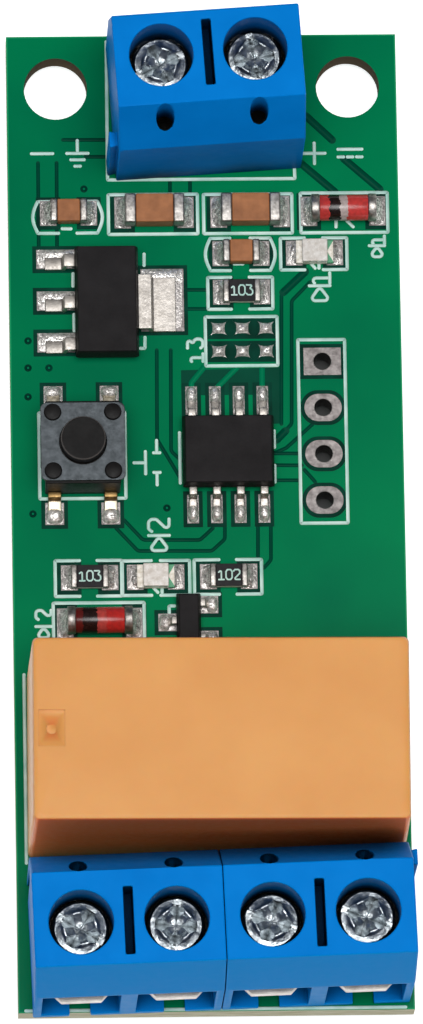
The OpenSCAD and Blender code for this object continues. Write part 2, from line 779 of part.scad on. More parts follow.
module terminal_contact() {
    half = strip_w / 2;
    front = block_front + fit;
    color("lightgray") {
        translate([0, 0, strip_z]) linear_extrude(strip_t) polygon([
            [-half, front + strip_chamfer], [-half + strip_chamfer, front], [half - strip_chamfer, front],
            [half, front + strip_chamfer], [half, leg_y + strip_t], [-half, leg_y + strip_t]
        ]);
        translate([-half, leg_y, floor_t]) cube([strip_w, strip_t, strip_z + eps - floor_t]);
        translate([-pin_w / 2, leg_y, -board_t - pin_tail])
            cube([pin_w, strip_t, floor_t + eps + board_t + pin_tail]);
    }
}

module terminal_cage() {
    cage_h = nut_z + nut_t - cage_z;
    window_z = cage_z + cage_floor_t;
    color("silver") difference() {
        block([cage_w, cage_l, cage_h], cage_z);
        block([cage_w - 2 * cage_wall, cage_l + 2 * eps, nut_z - window_z], window_z);
        translate([0, 0, nut_z - eps]) cylinder(r = thread_r + thread_play, h = nut_t + 2 * eps);
    }
}

module terminal_screw() {
    color("gainsboro") difference() {
        union() {
            translate([0, 0, strip_top + joint_seat]) cylinder(r = thread_r, h = head_z - strip_top);
            translate([0, 0, head_z]) cylinder(d = head_d, h = head_t);
        }
        translate([0, 0, head_z + head_t - drive_depth]) {
            block([head_d + 2 * eps, drive_w, drive_depth + eps]);
            block([drive_w, drive_cross_l, drive_depth + eps]);
        }
    }
}

module supply_housing() { in_supply() terminal_housing(); }
module supply_contacts() { in_supply() for (x = poles) translate([x, 0, 0]) terminal_contact(); }
module supply_cage(side) { in_supply() translate([-side * pitch / 2, 0, 0]) terminal_cage(); }
module supply_screw(side) { in_supply() translate([-side * pitch / 2, 0, 0]) terminal_screw(); }
module output_housing(side) { in_output() translate([side * pitch, 0, 0]) terminal_housing(); }
module output_contacts(side) {
    in_output() for (x = poles) translate([side * pitch + x, 0, 0]) terminal_contact();
}
module output_cage(i) { in_output() translate([(i - 2.5) * pitch, 0, 0]) terminal_cage(); }
module output_screw(i) { in_output() translate([(i - 2.5) * pitch, 0, 0]) terminal_screw(); }

// Relay case: a drafted cap with rounded corners, open below
module case_slice(inset, z, h) {
    x = relay_l / 2 - inset - relay_round;
    y = relay_w / 2 - inset - relay_round;
    for (sx = [-1, 1]) for (sy = [-1, 1])
        translate([sx * x, sy * y, z]) cylinder(r = relay_round, h = h);
}

module relay_case() {
    edge_mid = relay_edge * (1 - sqrt(0.5));
    mark_x = -relay_l / 2 + relay_draft + relay_edge + mark_inset;
    color("sandybrown") in_relay() difference() {
        hull() {
            case_slice(0, 0, eps);
            case_slice(relay_draft, relay_h - relay_edge - eps, eps);
            case_slice(relay_draft + edge_mid, relay_h - edge_mid - eps, eps);
            case_slice(relay_draft + relay_edge, relay_h - eps, eps);
        }
        block([inner_l, inner_w, roof + eps], -eps);
        translate([mark_x, -mark_w / 2, relay_h - mark_depth]) cube([mark_l, mark_w, mark_depth + eps]);
        translate([mark_x + mark_l / 2, 0, relay_h - 2 * mark_depth])
            cylinder(d = mark_dimple_d, h = 2 * mark_depth + eps);
    }
}

module relay_base() {
    color("dimgray") in_relay() difference() {
        block([inner_l - 2 * fit, inner_w - 2 * fit, base_t], base_lift);
        for (p = relay_pin_spots) translate([p[0], p[1], 0])
            block([relay_pin_w, relay_pin_t, base_t + 2 * eps], base_lift - eps);
    }
}

// A pin from its tip below the board up to a height
module relay_post(x, side, top) {
    translate([x, side * pin_rows / 2, 0])
        block([relay_pin_w, relay_pin_t, top + board_t + pin_tail], -board_t - pin_tail);
}

// A flat arm from a pin in to the contact button, button on the face that meets the blade
module contact_arm(pin_x, side, arm_z, button_z) {
    outer_y = pin_rows / 2 + relay_pin_t / 2;
    inner_y = blade_rows / 2 - contact_d / 2;
    low_x = min(pin_x - relay_pin_w / 2, contact_x - contact_d / 2);
    high_x = max(pin_x + relay_pin_w / 2, contact_x + contact_d / 2);
    translate([low_x, side > 0 ? inner_y : -outer_y, arm_z])
        cube([high_x - low_x, outer_y - inner_y, arm_t]);
    translate([contact_x, side * blade_rows / 2, button_z]) cylinder(d = contact_d, h = contact_t + eps);
}

module relay_pins() {
    color("peru") in_relay() for (side = [-1, 1]) {
        relay_post(coil_pin_x, side, base_top + post_h);
        relay_post(common_pin_x, side, base_top + post_h);
        relay_post(closed_pin_x, side, closed_arm_z + arm_t);
        contact_arm(closed_pin_x, side, closed_arm_z, closed_arm_z - contact_t);
        relay_post(open_pin_x, side, open_arm_top);
        contact_arm(open_pin_x, side, open_arm_top - arm_t, open_arm_top - eps);
    }
}

module along_coil() {
    translate([0, 0, coil_z]) rotate([0, 90, 0]) children();
}

module relay_bobbin() {
    color("ivory") in_relay() difference() {
        union() {
            for (x = [flange_x, coil_x + coil_l])
                translate([x, -flange_w / 2, base_top]) cube([flange_t, flange_w, flange_h]);
            along_coil() translate([0, 0, flange_x]) cylinder(r = tube_r, h = coil_l + 2 * flange_t);
        }
        along_coil() translate([0, 0, flange_x - eps])
            cylinder(r = core_d / 2 + fit, h = coil_l + 2 * flange_t + 2 * eps);
    }
}

module relay_winding() {
    color("firebrick") in_relay() along_coil() translate([0, 0, coil_x]) difference() {
        cylinder(r = winding_r, h = coil_l);
        translate([0, 0, -eps]) cylinder(r = tube_r, h = coil_l + 2 * eps);
    }
}

module relay_core() {
    color("slategray") in_relay() along_coil() {
        translate([0, 0, yoke_x]) cylinder(d = core_d, h = pole_x - yoke_x + eps);
        translate([0, 0, pole_x]) cylinder(d = pole_d, h = pole_t);
    }
}

module relay_yoke() {
    color("lightslategray") in_relay() difference() {
        union() {
            translate([yoke_x, -yoke_w / 2, base_top]) cube([yoke_t, yoke_w, yoke_top - base_top]);
            translate([yoke_x, -yoke_w / 2, yoke_leg_z]) cube([yoke_end - yoke_x, yoke_w, yoke_t]);
        }
        along_coil() translate([0, 0, yoke_x - eps]) cylinder(d = core_d, h = yoke_t + 2 * eps);
    }
}

module relay_armature() {
    low = coil_z - pole_d / 2 - armature_over;
    color("lightsteelblue") in_relay() translate([armature_x, -yoke_w / 2, low])
        cube([armature_t, yoke_w, yoke_top - low]);
}

module relay_carrier() {
    color("white") in_relay() difference() {
        translate([carrier_x, -carrier_w / 2, blade_z + blade_t / 2 - carrier_h / 2])
            cube([carrier_l, carrier_w, carrier_h]);
        for (side = [-1, 1]) blade_strip(side, carrier_x + carrier_l + eps);
    }
}

module blade_strip(side, end_x) {
    root_x = carrier_x + carrier_l - blade_root;
    translate([root_x, side * blade_rows / 2 - blade_w / 2, blade_z])
        cube([end_x - root_x, blade_w, blade_t]);
}

module relay_blades() {
    color("goldenrod") in_relay() for (side = [-1, 1]) {
        blade_strip(side, contact_x + contact_d / 2);
        translate([contact_x, side * blade_rows / 2, blade_z - contact_t])
            cylinder(d = contact_d, h = 2 * contact_t + blade_t);
    }
}

// Bent sheet lead in the YZ plane, from a body face at y = 0 out to its foot on the land
module gull_lead(w, t, root_z, shoulder, lean, tip) {
    rotate([90, 0, 90]) translate([0, 0, -w / 2]) linear_extrude(w) polygon([
        [0, root_z], [0, root_z + t], [shoulder + t / 2, root_z + t], [shoulder + t / 2 + lean, t],
        [tip, t], [tip, 0], [shoulder - t / 2 + lean, 0], [shoulder - t / 2, root_z]
    ]);
}

// Push button pieces
module rivet_spots() {
    for (x = [-1, 1]) for (y = [-1, 1]) translate([x * rivet_offset, y * rivet_offset, 0]) children();
}

module button_base() {
    color("black") on_board([button_x, button_y]) {
        difference() {
            block([button_w - 2 * cover_t - 2 * fit, button_w, button_h - button_lift], button_lift);
            translate([0, 0, well_floor]) cylinder(d = well_d, h = button_h);
        }
        rivet_spots() translate([0, 0, button_h - eps])
            cylinder(d = rivet_d, h = cover_t + rivet_rise + eps);
    }
}

module button_legs() {
    color("wheat") on_land([button_x, button_y])
        for (x = [-0.5, 0.5]) for (turn = [0, 180]) rotate([0, 0, turn])
            translate([x * button_leg_step, button_w / 2, 0])
                gull_lead(button_leg_w, button_leg_t, button_leg_root_h, button_shoulder_l, lead_lean_l,
                    (button_span - button_w) / 2);
}

module button_dome() {
    rim = plunger_flange_d / 2 - dome_inset;
    rise = dome_h - dome_t;
    color("silver") on_board([button_x, button_y]) translate([0, 0, well_floor]) rotate_extrude() polygon([
        [0, rise], [rim / 2, rise * 3 / 4], [rim, 0],
        [rim, dome_t], [rim / 2, rise * 3 / 4 + dome_t], [0, dome_h]
    ]);
}

module button_plunger() {
    color("dimgray") on_board([button_x, button_y]) {
        translate([0, 0, flange_roof - plunger_flange_t])
            cylinder(d = plunger_flange_d, h = plunger_flange_t);
        translate([0, 0, flange_roof - eps]) cylinder(d = plunger_d, h = plunger_top - flange_roof + eps);
        translate([0, 0, dome_top + joint_seat])
            cylinder(d = plunger_d / 2, h = flange_roof - dome_top - joint_seat);
    }
}

module button_cover() {
    side = button_w - 2 * cover_inset;
    color("gray") on_board([button_x, button_y]) {
        difference() {
            block([button_w, side, cover_t], button_h);
            translate([0, 0, button_h - eps])
                cylinder(d = plunger_d + 2 * plunger_play, h = cover_t + 2 * eps);
            rivet_spots() translate([0, 0, button_h - eps]) cylinder(d = rivet_d, h = cover_t + 2 * eps);
        }
        for (x = [-1, 1]) translate([x * (button_w - cover_t) / 2, 0, 0])
            block([cover_t, clip_w, clip_h + eps], button_h - clip_h);
    }
}

// Moulded body with sides that lean in above and below the lead line
module mould_profile(w, h) {
    d = mould_draft;
    polygon([
        [-w / 2 + d, 0], [w / 2 - d, 0], [w / 2, h / 2],
        [w / 2 - d, h], [-w / 2 + d, h], [-w / 2, h / 2]
    ]);
}

module mould_body(size) {
    color("darkslategray") translate([0, 0, body_lift]) intersection() {
        rotate([90, 0, 0]) translate([0, 0, -size[1] / 2])
            linear_extrude(size[1]) mould_profile(size[0], size[2]);
        rotate([90, 0, 90]) translate([0, 0, -size[0] / 2])
            linear_extrude(size[0]) mould_profile(size[1], size[2]);
    }
}

// A lead's root lies under the middle of the body's side, set against the leaning face
module package_lead(w, body_h, reach) {
    root_z = body_lift + body_h / 2 - lead_t / 2;
    gull_lead(w, lead_t, root_z, reach * lead_shoulder, lead_lean_l, reach);
}

module package_root(w, body_w, body_h) {
    root_z = body_lift + body_h / 2 - lead_t / 2;
    translate([0, body_w / 2, 0]) difference() {
        translate([-w / 2, -mould_draft, root_z]) cube([w, mould_draft + eps, lead_t]);
        translate([0, -body_w / 2, body_lift]) rotate([90, 0, 90]) translate([0, 0, -w])
            linear_extrude(2 * w) mould_profile(body_w, body_h);
    }
}

module package_leads(w, body_w, body_h, span) {
    translate([0, body_w / 2, 0]) package_lead(w, body_h, (span - body_w) / 2);
    package_root(w, body_w, body_h);
}

module regulator_body() {
    on_land([regulator_x - regulator_off, regulator_y]) mould_body([regulator_w, regulator_l, regulator_h]);
}

module regulator_leads() {
    lead_span = regulator_span - 2 * regulator_off;
    tab_span = regulator_span + 2 * regulator_off;
    color("lightgray") on_land([regulator_x - regulator_off, regulator_y]) {
        for (i = [-1, 0, 1]) translate([0, i * regulator_step, 0]) rotate([0, 0, 90])
            package_leads(regulator_lead_w, regulator_w, regulator_h, lead_span);
        rotate([0, 0, -90]) package_leads(regulator_tab_w, regulator_w, regulator_h, tab_span);
    }
}

module controller_body() {
    on_land([controller_x, controller_y]) mould_body([controller_l, controller_w, controller_h]);
}

module controller_leads() {
    color("lightgray") on_land([controller_x, controller_y])
        for (turn = [0, 180]) rotate([0, 0, turn])
            for (i = [-1.5 : 1.5]) translate([i * controller_lead_step, 0, 0])
                package_leads(controller_lead_w, controller_w, controller_h, controller_span);
}

module transistor_body() {
    on_land([transistor_x, transistor_y]) mould_body([transistor_w, transistor_l, transistor_h]);
}

module transistor_leads() {
    color("lightgray") on_land([transistor_x, transistor_y]) {
        for (i = [-0.5, 0.5]) translate([0, i * transistor_step_y, 0]) rotate([0, 0, -90])
            package_leads(transistor_lead_w, transistor_w, transistor_h, transistor_span);
        rotate([0, 0, 90])
            package_leads(transistor_lead_w, transistor_w, transistor_h, transistor_span);
    }
}

// Chip parts: a body between two metal ends
module chip_body(spot, l, w, h, end_l) {
    on_land(spot) block([l - 2 * end_l, w - 2 * end_proud, h - 2 * end_proud], end_proud);
}

module chip_ends(spot, l, w, h, end_l) {
    on_land(spot) for (side = [-1, 1]) translate([side * (l - end_l) / 2, 0, 0]) block([end_l, w, h]);
}

module small_capacitor(i) {
    color("sienna") chip_body(small_spots[i], chip_l, chip_w, small_h, small_end);
}

module large_capacitor(i) {
    color("sienna") chip_body(large_spots[i], large_l, large_w, large_h, large_end);
}

module resistor(i) {
    color("black") chip_body(resistor_spots[i], chip_l, chip_w, resistor_h, resistor_end);
}

module capacitor_ends() {
    color("silver") {
        for (s = small_spots) chip_ends(s, chip_l, chip_w, small_h, small_end);
        for (s = large_spots) chip_ends(s, large_l, large_w, large_h, large_end);
    }
}

module resistor_ends() {
    color("silver") for (s = resistor_spots) chip_ends(s, chip_l, chip_w, resistor_h, resistor_end);
}

// Glass diodes lie along X between two metal caps
module along_diode(i) {
    on_land(diode_spots[i]) translate([0, 0, diode_d / 2]) rotate([0, 90, 0]) children();
}

module diode_glass(i) {
    color("red") along_diode(i)
        cylinder(d = diode_d - 2 * diode_neck, h = diode_l - 2 * diode_cap_l, center = true);
}

module diode_caps() {
    color("silver") for (i = [0, 1]) along_diode(i) for (side = [-1, 1])
        translate([0, 0, side * (diode_l - diode_cap_l) / 2])
            cylinder(d = diode_d, h = diode_cap_l, center = true);
}

// Lights: a small carrier with a milky lens
module light_base(i) {
    color("honeydew") on_land(light_spots[i]) block([chip_l, chip_w, light_base_h]);
}

module light_lens(i) {
    color("mistyrose") on_land(light_spots[i]) block([light_lens_l, chip_w, light_lens_h], light_base_h);
}

circuit_board();
solder_lands();
solder_joints();
supply_housing();
supply_contacts();
supply_cage(-1);  // supply_cage_left
supply_cage(1);  // supply_cage_right
supply_screw(-1);  // supply_screw_left
supply_screw(1);  // supply_screw_right
output_housing(-1);  // output_housing_left
output_housing(1);  // output_housing_right
output_contacts(-1);  // output_contacts_left
output_contacts(1);  // output_contacts_right
output_cage(1);  // output_cage_1
output_cage(2);  // output_cage_2
output_cage(3);  // output_cage_3
output_cage(4);  // output_cage_4
output_screw(1);  // output_screw_1
output_screw(2);  // output_screw_2
output_screw(3);  // output_screw_3
output_screw(4);  // output_screw_4
relay_case();
relay_base();
relay_pins();
relay_bobbin();
relay_winding();
relay_core();
relay_yoke();
relay_armature();
relay_carrier();
relay_blades();
button_base();
button_legs();
button_dome();
button_plunger();
button_cover();
regulator_body();
regulator_leads();
controller_body();
controller_leads();
transistor_body();
transistor_leads();
small_capacitor(0);  // capacitor_1
large_capacitor(0);  // capacitor_2
large_capacitor(1);  // capacitor_3
small_capacitor(1);  // capacitor_4
capacitor_ends();
resistor(0);  // resistor_1
resistor(1);  // resistor_2
resistor(2);  // resistor_3
resistor_ends();
diode_glass(0);  // diode_1_glass
diode_glass(1);  // diode_2_glass
diode_caps();
light_base(0);  // light_1_base
light_base(1);  // light_2_base
light_lens(0);  // light_1_lens
light_lens(1);  // light_2_lens
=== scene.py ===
# Relay module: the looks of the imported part, in metres and in the part's own frame.
import json
import math
from types import SimpleNamespace

import bmesh
import bpy
from mathutils import Matrix, Vector


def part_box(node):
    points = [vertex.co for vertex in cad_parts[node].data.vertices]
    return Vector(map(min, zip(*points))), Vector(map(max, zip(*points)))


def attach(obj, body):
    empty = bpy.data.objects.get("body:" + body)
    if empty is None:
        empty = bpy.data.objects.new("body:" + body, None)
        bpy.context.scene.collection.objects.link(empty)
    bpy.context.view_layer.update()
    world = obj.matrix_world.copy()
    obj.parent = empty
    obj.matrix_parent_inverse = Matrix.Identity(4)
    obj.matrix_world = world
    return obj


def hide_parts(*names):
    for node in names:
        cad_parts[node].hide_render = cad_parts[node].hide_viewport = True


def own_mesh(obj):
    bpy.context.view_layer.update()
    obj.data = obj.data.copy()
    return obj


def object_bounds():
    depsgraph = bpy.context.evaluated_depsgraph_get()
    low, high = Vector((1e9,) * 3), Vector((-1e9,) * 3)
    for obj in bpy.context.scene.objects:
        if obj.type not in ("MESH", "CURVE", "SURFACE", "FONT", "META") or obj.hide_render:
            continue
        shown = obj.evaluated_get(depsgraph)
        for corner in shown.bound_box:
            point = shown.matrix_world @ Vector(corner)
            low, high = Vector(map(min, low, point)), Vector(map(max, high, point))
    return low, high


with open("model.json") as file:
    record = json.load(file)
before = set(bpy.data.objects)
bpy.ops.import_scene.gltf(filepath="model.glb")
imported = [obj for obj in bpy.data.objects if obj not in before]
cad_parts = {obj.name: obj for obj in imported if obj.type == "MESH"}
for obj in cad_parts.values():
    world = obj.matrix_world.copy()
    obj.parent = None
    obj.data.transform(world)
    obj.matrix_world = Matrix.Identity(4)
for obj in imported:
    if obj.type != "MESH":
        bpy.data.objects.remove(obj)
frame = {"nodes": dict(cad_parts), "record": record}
cad_box = [list(corner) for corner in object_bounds()]


# Camera, floor and light.
# The module lies on a pale table on the tips of its solder pins, under two soft boxes. A long lens
# looks down at the photograph's angle. The table is clear from below, to show the underside too.
MM = 0.001
scene = bpy.context.scene
scene.view_settings.view_transform = "Standard"
view_target = Vector((0.159, -23.411, 1.6)) * MM
view_azimuth = math.radians(-9.14)
view_elevation = math.radians(77.219)
view_roll = math.radians(-0.962)
view_distance = 607.4 * MM
picture_height = 1024
focal_pixels = 11370.8
sensor_height = 36


def direction(azimuth, elevation):
    """Unit vector towards a place seen at that azimuth from the front and that height."""
    level = math.cos(elevation)
    return Vector((math.sin(azimuth) * level, -math.cos(azimuth) * level, math.sin(elevation)))


def link_object(name, data):
    made = bpy.data.objects.new(name, data)
    scene.collection.objects.link(made)
    return made


back = direction(view_azimuth, view_elevation)
right = Vector((0, 1, 0)).cross(back).normalized()
up = back.cross(right)
turned_right = right * math.cos(view_roll) + up * math.sin(view_roll)
turned_up = up * math.cos(view_roll) - right * math.sin(view_roll)
camera = link_object("camera", bpy.data.cameras.new("camera"))
camera.data.sensor_fit = "VERTICAL"
camera.data.sensor_height = sensor_height
camera.data.lens = focal_pixels / picture_height * sensor_height
camera.data.clip_start = 0.01
camera.data.clip_end = 20
camera.matrix_world = Matrix.Translation(view_target + back * view_distance) @ Matrix(
    (turned_right, turned_up, back)
).transposed().to_4x4()
scene.camera = camera

box_distance = 0.8
box_side = 0.42
box_elevation = math.radians(80)
box_watts = 3.0
for side_name, box_azimuth in (("left", -48), ("right", 48)):
    lamp = bpy.data.lights.new(f"soft_box_{side_name}", "AREA")
    lamp.size = box_side
    lamp.energy = box_watts
    soft_box = link_object(f"soft_box_{side_name}", lamp)
    aim = direction(math.radians(box_azimuth), box_elevation)
    soft_box.matrix_world = Matrix.Translation(view_target + aim * box_distance) @ (
        aim.to_track_quat("Z", "Y").to_matrix().to_4x4()
    )

world_grey = (0.08, 0.08, 0.083, 1)
scene.world = bpy.data.worlds.new("room")
scene.world.use_nodes = True
scene.world.node_tree.nodes["Background"].inputs["Color"].default_value = world_grey


def mesh_of(name, points, edges=(), faces=()):
    mesh = bpy.data.meshes.new(name)
    mesh.from_pydata(points, edges, faces)
    mesh.update()
    return mesh


def put(tree, kind, inputs=None, **settings):
    """Adds a node; inputs gives values or output sockets by socket name or number."""
    made = tree.nodes.new(kind)
    for name, value in settings.items():
        setattr(made, name, value)
    for key, value in (inputs or {}).items():
        if isinstance(value, bpy.types.NodeSocket):
            tree.links.new(value, made.inputs[key])
        else:
            made.inputs[key].default_value = value
    return made


def after(kind, inputs, **settings):
    """Adds a node to the tree of the sockets among its inputs."""
    tree = next(value.id_data for value in inputs.values() if isinstance(value, bpy.types.NodeSocket))
    return put(tree, kind, inputs, **settings)


def reckon(operation, first, second=0.0):
    return after("ShaderNodeMath", {0: first, 1: second}, operation=operation).outputs[0]


def times(first, second):
    return reckon("MULTIPLY", first, second)


def minus(first, second):
    return reckon("SUBTRACT", first, second)


def unsigned(value):
    return reckon("ABSOLUTE", value)


def span(value, low, high, new_low=0.0, new_high=1.0, **settings):
    """Maps a range of a value to another range, held at both ends."""
    ends = {0: value, 1: low, 2: high, 3: new_low, 4: new_high}
    return after("ShaderNodeMapRange", ends, **settings).outputs[0]


def split(place):
    return after("ShaderNodeSeparateXYZ", {0: place}).outputs


# Under the middle of the board the table takes a darker colour, a painted shadow, and no lift.
floor_half = 3.0
floor_white = 0.86
floor_shade = 0.16
floor_lift = 0.7
floor_z = cad_box[0][2]
shade_from_x, shade_to_x = 7.2 * MM, 10.5 * MM
shade_from_y, shade_to_y = 8.5 * MM, 17 * MM
shade_middle_y = -19 * MM
corners = [(x * floor_half, y * floor_half, floor_z) for x, y in ((-1, -1), (1, -1), (1, 1), (-1, 1))]
floor_mesh = mesh_of("table_top", corners, faces=[(0, 1, 2, 3)])
floor = link_object("table_top", floor_mesh)
floor_paper = bpy.data.materials.new("table_paper")
floor_paper.use_nodes = True
paper = floor_paper.node_tree
paper.nodes.clear()
rays = put(paper, "ShaderNodeLightPath").outputs
seen = reckon("MAXIMUM", rays["Is Camera Ray"], rays["Is Glossy Ray"])
seen = reckon("MAXIMUM", seen, rays["Is Transmission Ray"])
x, y = split(put(paper, "ShaderNodeTexCoord").outputs["Object"])[:2]
along = unsigned(minus(y, shade_middle_y))
soft_step = {"interpolation_type": "SMOOTHSTEP"}
open_x = span(unsigned(x), shade_from_x, shade_to_x, **soft_step)
open_y = span(along, shade_from_y, shade_to_y, **soft_step)
open_floor = reckon("MAXIMUM", open_x, open_y)
glow = after("ShaderNodeEmission", {"Strength": times(times(seen, open_floor), floor_lift)})
matt = after("ShaderNodeBsdfDiffuse", {"Color": span(open_floor, 0, 1, floor_shade, floor_white)})
both = after("ShaderNodeAddShader", {0: matt.outputs[0], 1: glow.outputs[0]})
from_below = put(paper, "ShaderNodeNewGeometry").outputs["Backfacing"]
clear = put(paper, "ShaderNodeBsdfTransparent").outputs[0]
one_sided = after("ShaderNodeMixShader", {0: from_below, 1: both.outputs[0], 2: clear})
after("ShaderNodeOutputMaterial", {"Surface": one_sided.outputs[0]})
floor_mesh.materials.append(floor_paper)


# Circuit board.
# Glass-fibre laminate with a green lacquer over copper on both faces, sawn at the edges, so that
# the pale fibre layers show there. The walls of the two drilled mounting holes take a darker
# laminate tone, a painted shade.
board_low, board_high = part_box("circuit_board")
board_top = board_high.z
mask_tones = ("#006A46", "#007E4D")
mask_patch = 9 * MM
mask_rim = "#1B9460"
mask_rim_from, mask_rim_to = 0.072 * MM, 0.09 * MM
laminate_tones = ("#C9C3A2", "#E4E0C8")
painted_hole_wall_shade = "#6E5F4A"
ply = 0.18 * MM
plies = 9
edge_rough, face_rough = 0.8, 0.15
faint_gloss = 0.03
peel_size, peel_depth = 0.35 * MM, 0.002 * MM
hole_margin = 0.05
touch = 1e-6


def colour(code):
    """Linear colour from a hex code."""
    parts = [int(code[i:i + 2], 16) / 255 for i in (1, 3, 5)]
    return (*[p / 12.92 if p <= 0.04045 else ((p + 0.055) / 1.055) ** 2.4 for p in parts], 1)


def start_material(name, sockets=None):
    """A new material with its shader, and the Object coordinates that its patterns read."""
    made = bpy.data.materials.new(name)
    made.use_nodes = True
    tree = made.node_tree
    tree.nodes.clear()
    shader = put(tree, "ShaderNodeBsdfPrincipled", sockets)
    put(tree, "ShaderNodeOutputMaterial", {"Surface": shader.outputs[0]})
    place = put(tree, "ShaderNodeTexCoord").outputs["Object"]
    return made, shader, place


def feed(node, name, socket):
    node.id_data.links.new(socket, node.inputs[name])


def speckle(place, size):
    """Noise with features of that size."""
    return after("ShaderNodeTexNoise", {"Vector": place, "Scale": 1 / size, "Detail": 3.0}).outputs[0]


def tones(factor, *stops, interpolation="LINEAR"):
    """Colour ramp through (position, colour) stops."""
    made = after("ShaderNodeValToRGB", {0: factor})
    ramp = made.color_ramp
    ramp.interpolation = interpolation
    while len(ramp.elements) < len(stops):
        ramp.elements.new(0.5)
    for element, (position, code) in zip(ramp.elements, stops):
        element.position = position
        element.color = colour(code)
    return made.outputs[0]


def two_tones(factor, pair, low=0.3, high=0.7):
    """Drifts from one tone to another over the middle range of a noise."""
    return tones(factor, (low, pair[0]), (high, pair[1]))


def mix_tones(factor, first, second):
    first, second = [colour(tone) if isinstance(tone, str) else tone for tone in (first, second)]
    return after("ShaderNodeMix", {0: factor, 6: first, 7: second}, data_type="RGBA").outputs[2]


def emboss(shader, height, depth):
    """Bump of that depth."""
    relief = after("ShaderNodeBump", {"Strength": 1.0, "Distance": depth, "Height": height})
    feed(shader, "Normal", relief.outputs[0])


mounts = {mount["name"]: mount for mount in frame["record"]["mounts"]}
mounting = mounts["mounting_holes"]["dims"]
lacquer, shader, place = start_material("board_lacquer", {"Specular IOR Level": faint_gloss})
x, y, z = split(place)
on_top = reckon("GREATER_THAN", z, board_top - touch)
on_face = reckon("MAXIMUM", on_top, reckon("LESS_THAN", z, board_low.z + touch))
side_gap = minus(board_high.x, unsigned(x))
end_gap = reckon("MINIMUM", minus(board_high.y, y), minus(y, board_low.y))
edge_gap = reckon("MINIMUM", side_gap, end_gap)
rim = span(edge_gap, mask_rim_from, mask_rim_to, 1.0, 0.0)
face_colour = mix_tones(rim, two_tones(speckle(place, mask_patch), mask_tones), mask_rim)
fibre = after("ShaderNodeMapping", {"Vector": place, "Scale": (1, 1, plies)}).outputs[0]
edge_colour = two_tones(speckle(fibre, plies * ply), laminate_tones, 0.35, 0.65)
hole_x = mounting["spacing_x_mm"] * MM / 2
hole_reach = (mounting["hole_r_mm"] + hole_margin) * MM
from_hole = minus(unsigned(x), hole_x)
from_hole = reckon("ADD", times(from_hole, from_hole), times(y, y))
in_hole = reckon("LESS_THAN", from_hole, hole_reach ** 2)
# Painted shade: the mounting hole walls take a darker laminate tone.
edge_colour = mix_tones(in_hole, edge_colour, painted_hole_wall_shade)
feed(shader, "Base Color", mix_tones(on_face, edge_colour, face_colour))
feed(shader, "Roughness", span(on_face, 0, 1, edge_rough, face_rough))
emboss(shader, speckle(place, peel_size), peel_depth)


def dress(node, material):
    """Gives a CAD solid its finish."""
    slots = frame["nodes"][node].data.materials
    slots.clear()
    slots.append(material)


dress("circuit_board", lacquer)


# Copper under the lacquer.
# The copper is etched away along narrow channels around each track and each solder land. The
# lacquer sinks in and looks darker there. Small drilled vias are covered by the lacquer too.
channel_width = 0.2 * MM
broad_width = 0.42 * MM
track_width = 0.3 * MM
moat = 0.21 * MM
film = 0.012 * MM
levels, level_step = 9, 0.02
cap_share = 0.94
weld = 1e-7
moat_film = 1.5 * film
moat_levels, moat_step = 3, 0.05 * film


def grained(name, tone_pair, patch, rough, grain, depth, metal=0.0, gloss=0.5, others=None):
    """A finish whose tone drifts over patches and whose surface and gloss have a fine grain.

    Patch, grain and depth are in millimetres; rough is the least and the most roughness.
    """
    sockets = {"Metallic": metal, "Specular IOR Level": gloss, **(others or {})}
    made, shader, place = start_material(name, sockets)
    feed(shader, "Base Color", two_tones(speckle(place, patch * MM), tone_pair))
    fine = speckle(place, grain * MM)
    feed(shader, "Roughness", span(fine, 0.3, 0.7, *rough))
    emboss(shader, fine, depth * MM)
    return made


def sunk_lacquer(name, tone_pair, patch):
    return grained(name, tone_pair, patch, (0.3, 0.4), 0.3, 0.002, gloss=faint_gloss)


channel_lacquer = sunk_lacquer("channel_lacquer", ("#003A2B", "#004A36"), 4)
moat_lacquer = sunk_lacquer("moat_lacquer", ("#002C21", "#003F30"), 1)
track_lacquer = sunk_lacquer("track_lacquer", ("#006B4A", "#007A50"), 4)


def welded(node):
    """The mesh of a CAD node with its doubled points joined."""
    shape = bmesh.new()
    shape.from_mesh(frame["nodes"][node].data)
    bmesh.ops.remove_doubles(shape, verts=shape.verts, dist=weld)
    return shape


def islands(node):
    """The separate solids of a CAD node: each has its points, faces, corners, middle and size."""
    shape = welded(node)
    left, found = set(shape.verts), []
    while left:
        open_points, group = [left.pop()], []
        while open_points:
            point = open_points.pop()
            group.append(point)
            for edge in point.link_edges:
                other = edge.other_vert(point)
                if other in left:
                    left.discard(other)
                    open_points.append(other)
        number = {point: i for i, point in enumerate(group)}
        faces = {face for point in group for face in point.link_faces}
        points = [point.co.copy() for point in group]
        low, high = [Vector([pick(p[i] for p in points) for i in range(3)]) for pick in (min, max)]
        found.append(SimpleNamespace(
            points=points, faces=[[number[p] for p in face.verts] for face in faces],
            low=low, high=high, middle=(low + high) / 2, size=high - low))
    shape.free()
    return sorted(found, key=lambda part: (round(part.low.y, 6), round(part.low.x, 6), part.low.z))


def keep_piece(mesh, material, body="board"):
    """A finished mesh that rides on a body."""
    mesh.materials.clear()
    mesh.materials.append(material)
    made = link_object(mesh.name, mesh)
    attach(made, body)
    return made


def start_tree(name, numbers, vectors=()):
    """A node tree with named inputs for its sizes; gives what adds nodes to it and what comes in."""
    tree = bpy.data.node_groups.new(name, "GeometryNodeTree")
    rows = [("Geometry", "Geometry"), ("Finish", "Material")]
    rows += [(label, "Float") for label in numbers] + [(label, "Vector") for label in vectors]
    for label, kind in rows:
        tree.interface.new_socket(label, in_out="INPUT", socket_type=f"NodeSocket{kind}")
    tree.interface.new_socket("Geometry", in_out="OUTPUT", socket_type="NodeSocketGeometry")

    def geo(kind, inputs=None, **settings):
        return put(tree, f"GeometryNode{kind}", inputs, **settings).outputs[0]
    return geo, put(tree, "NodeGroupInput").outputs


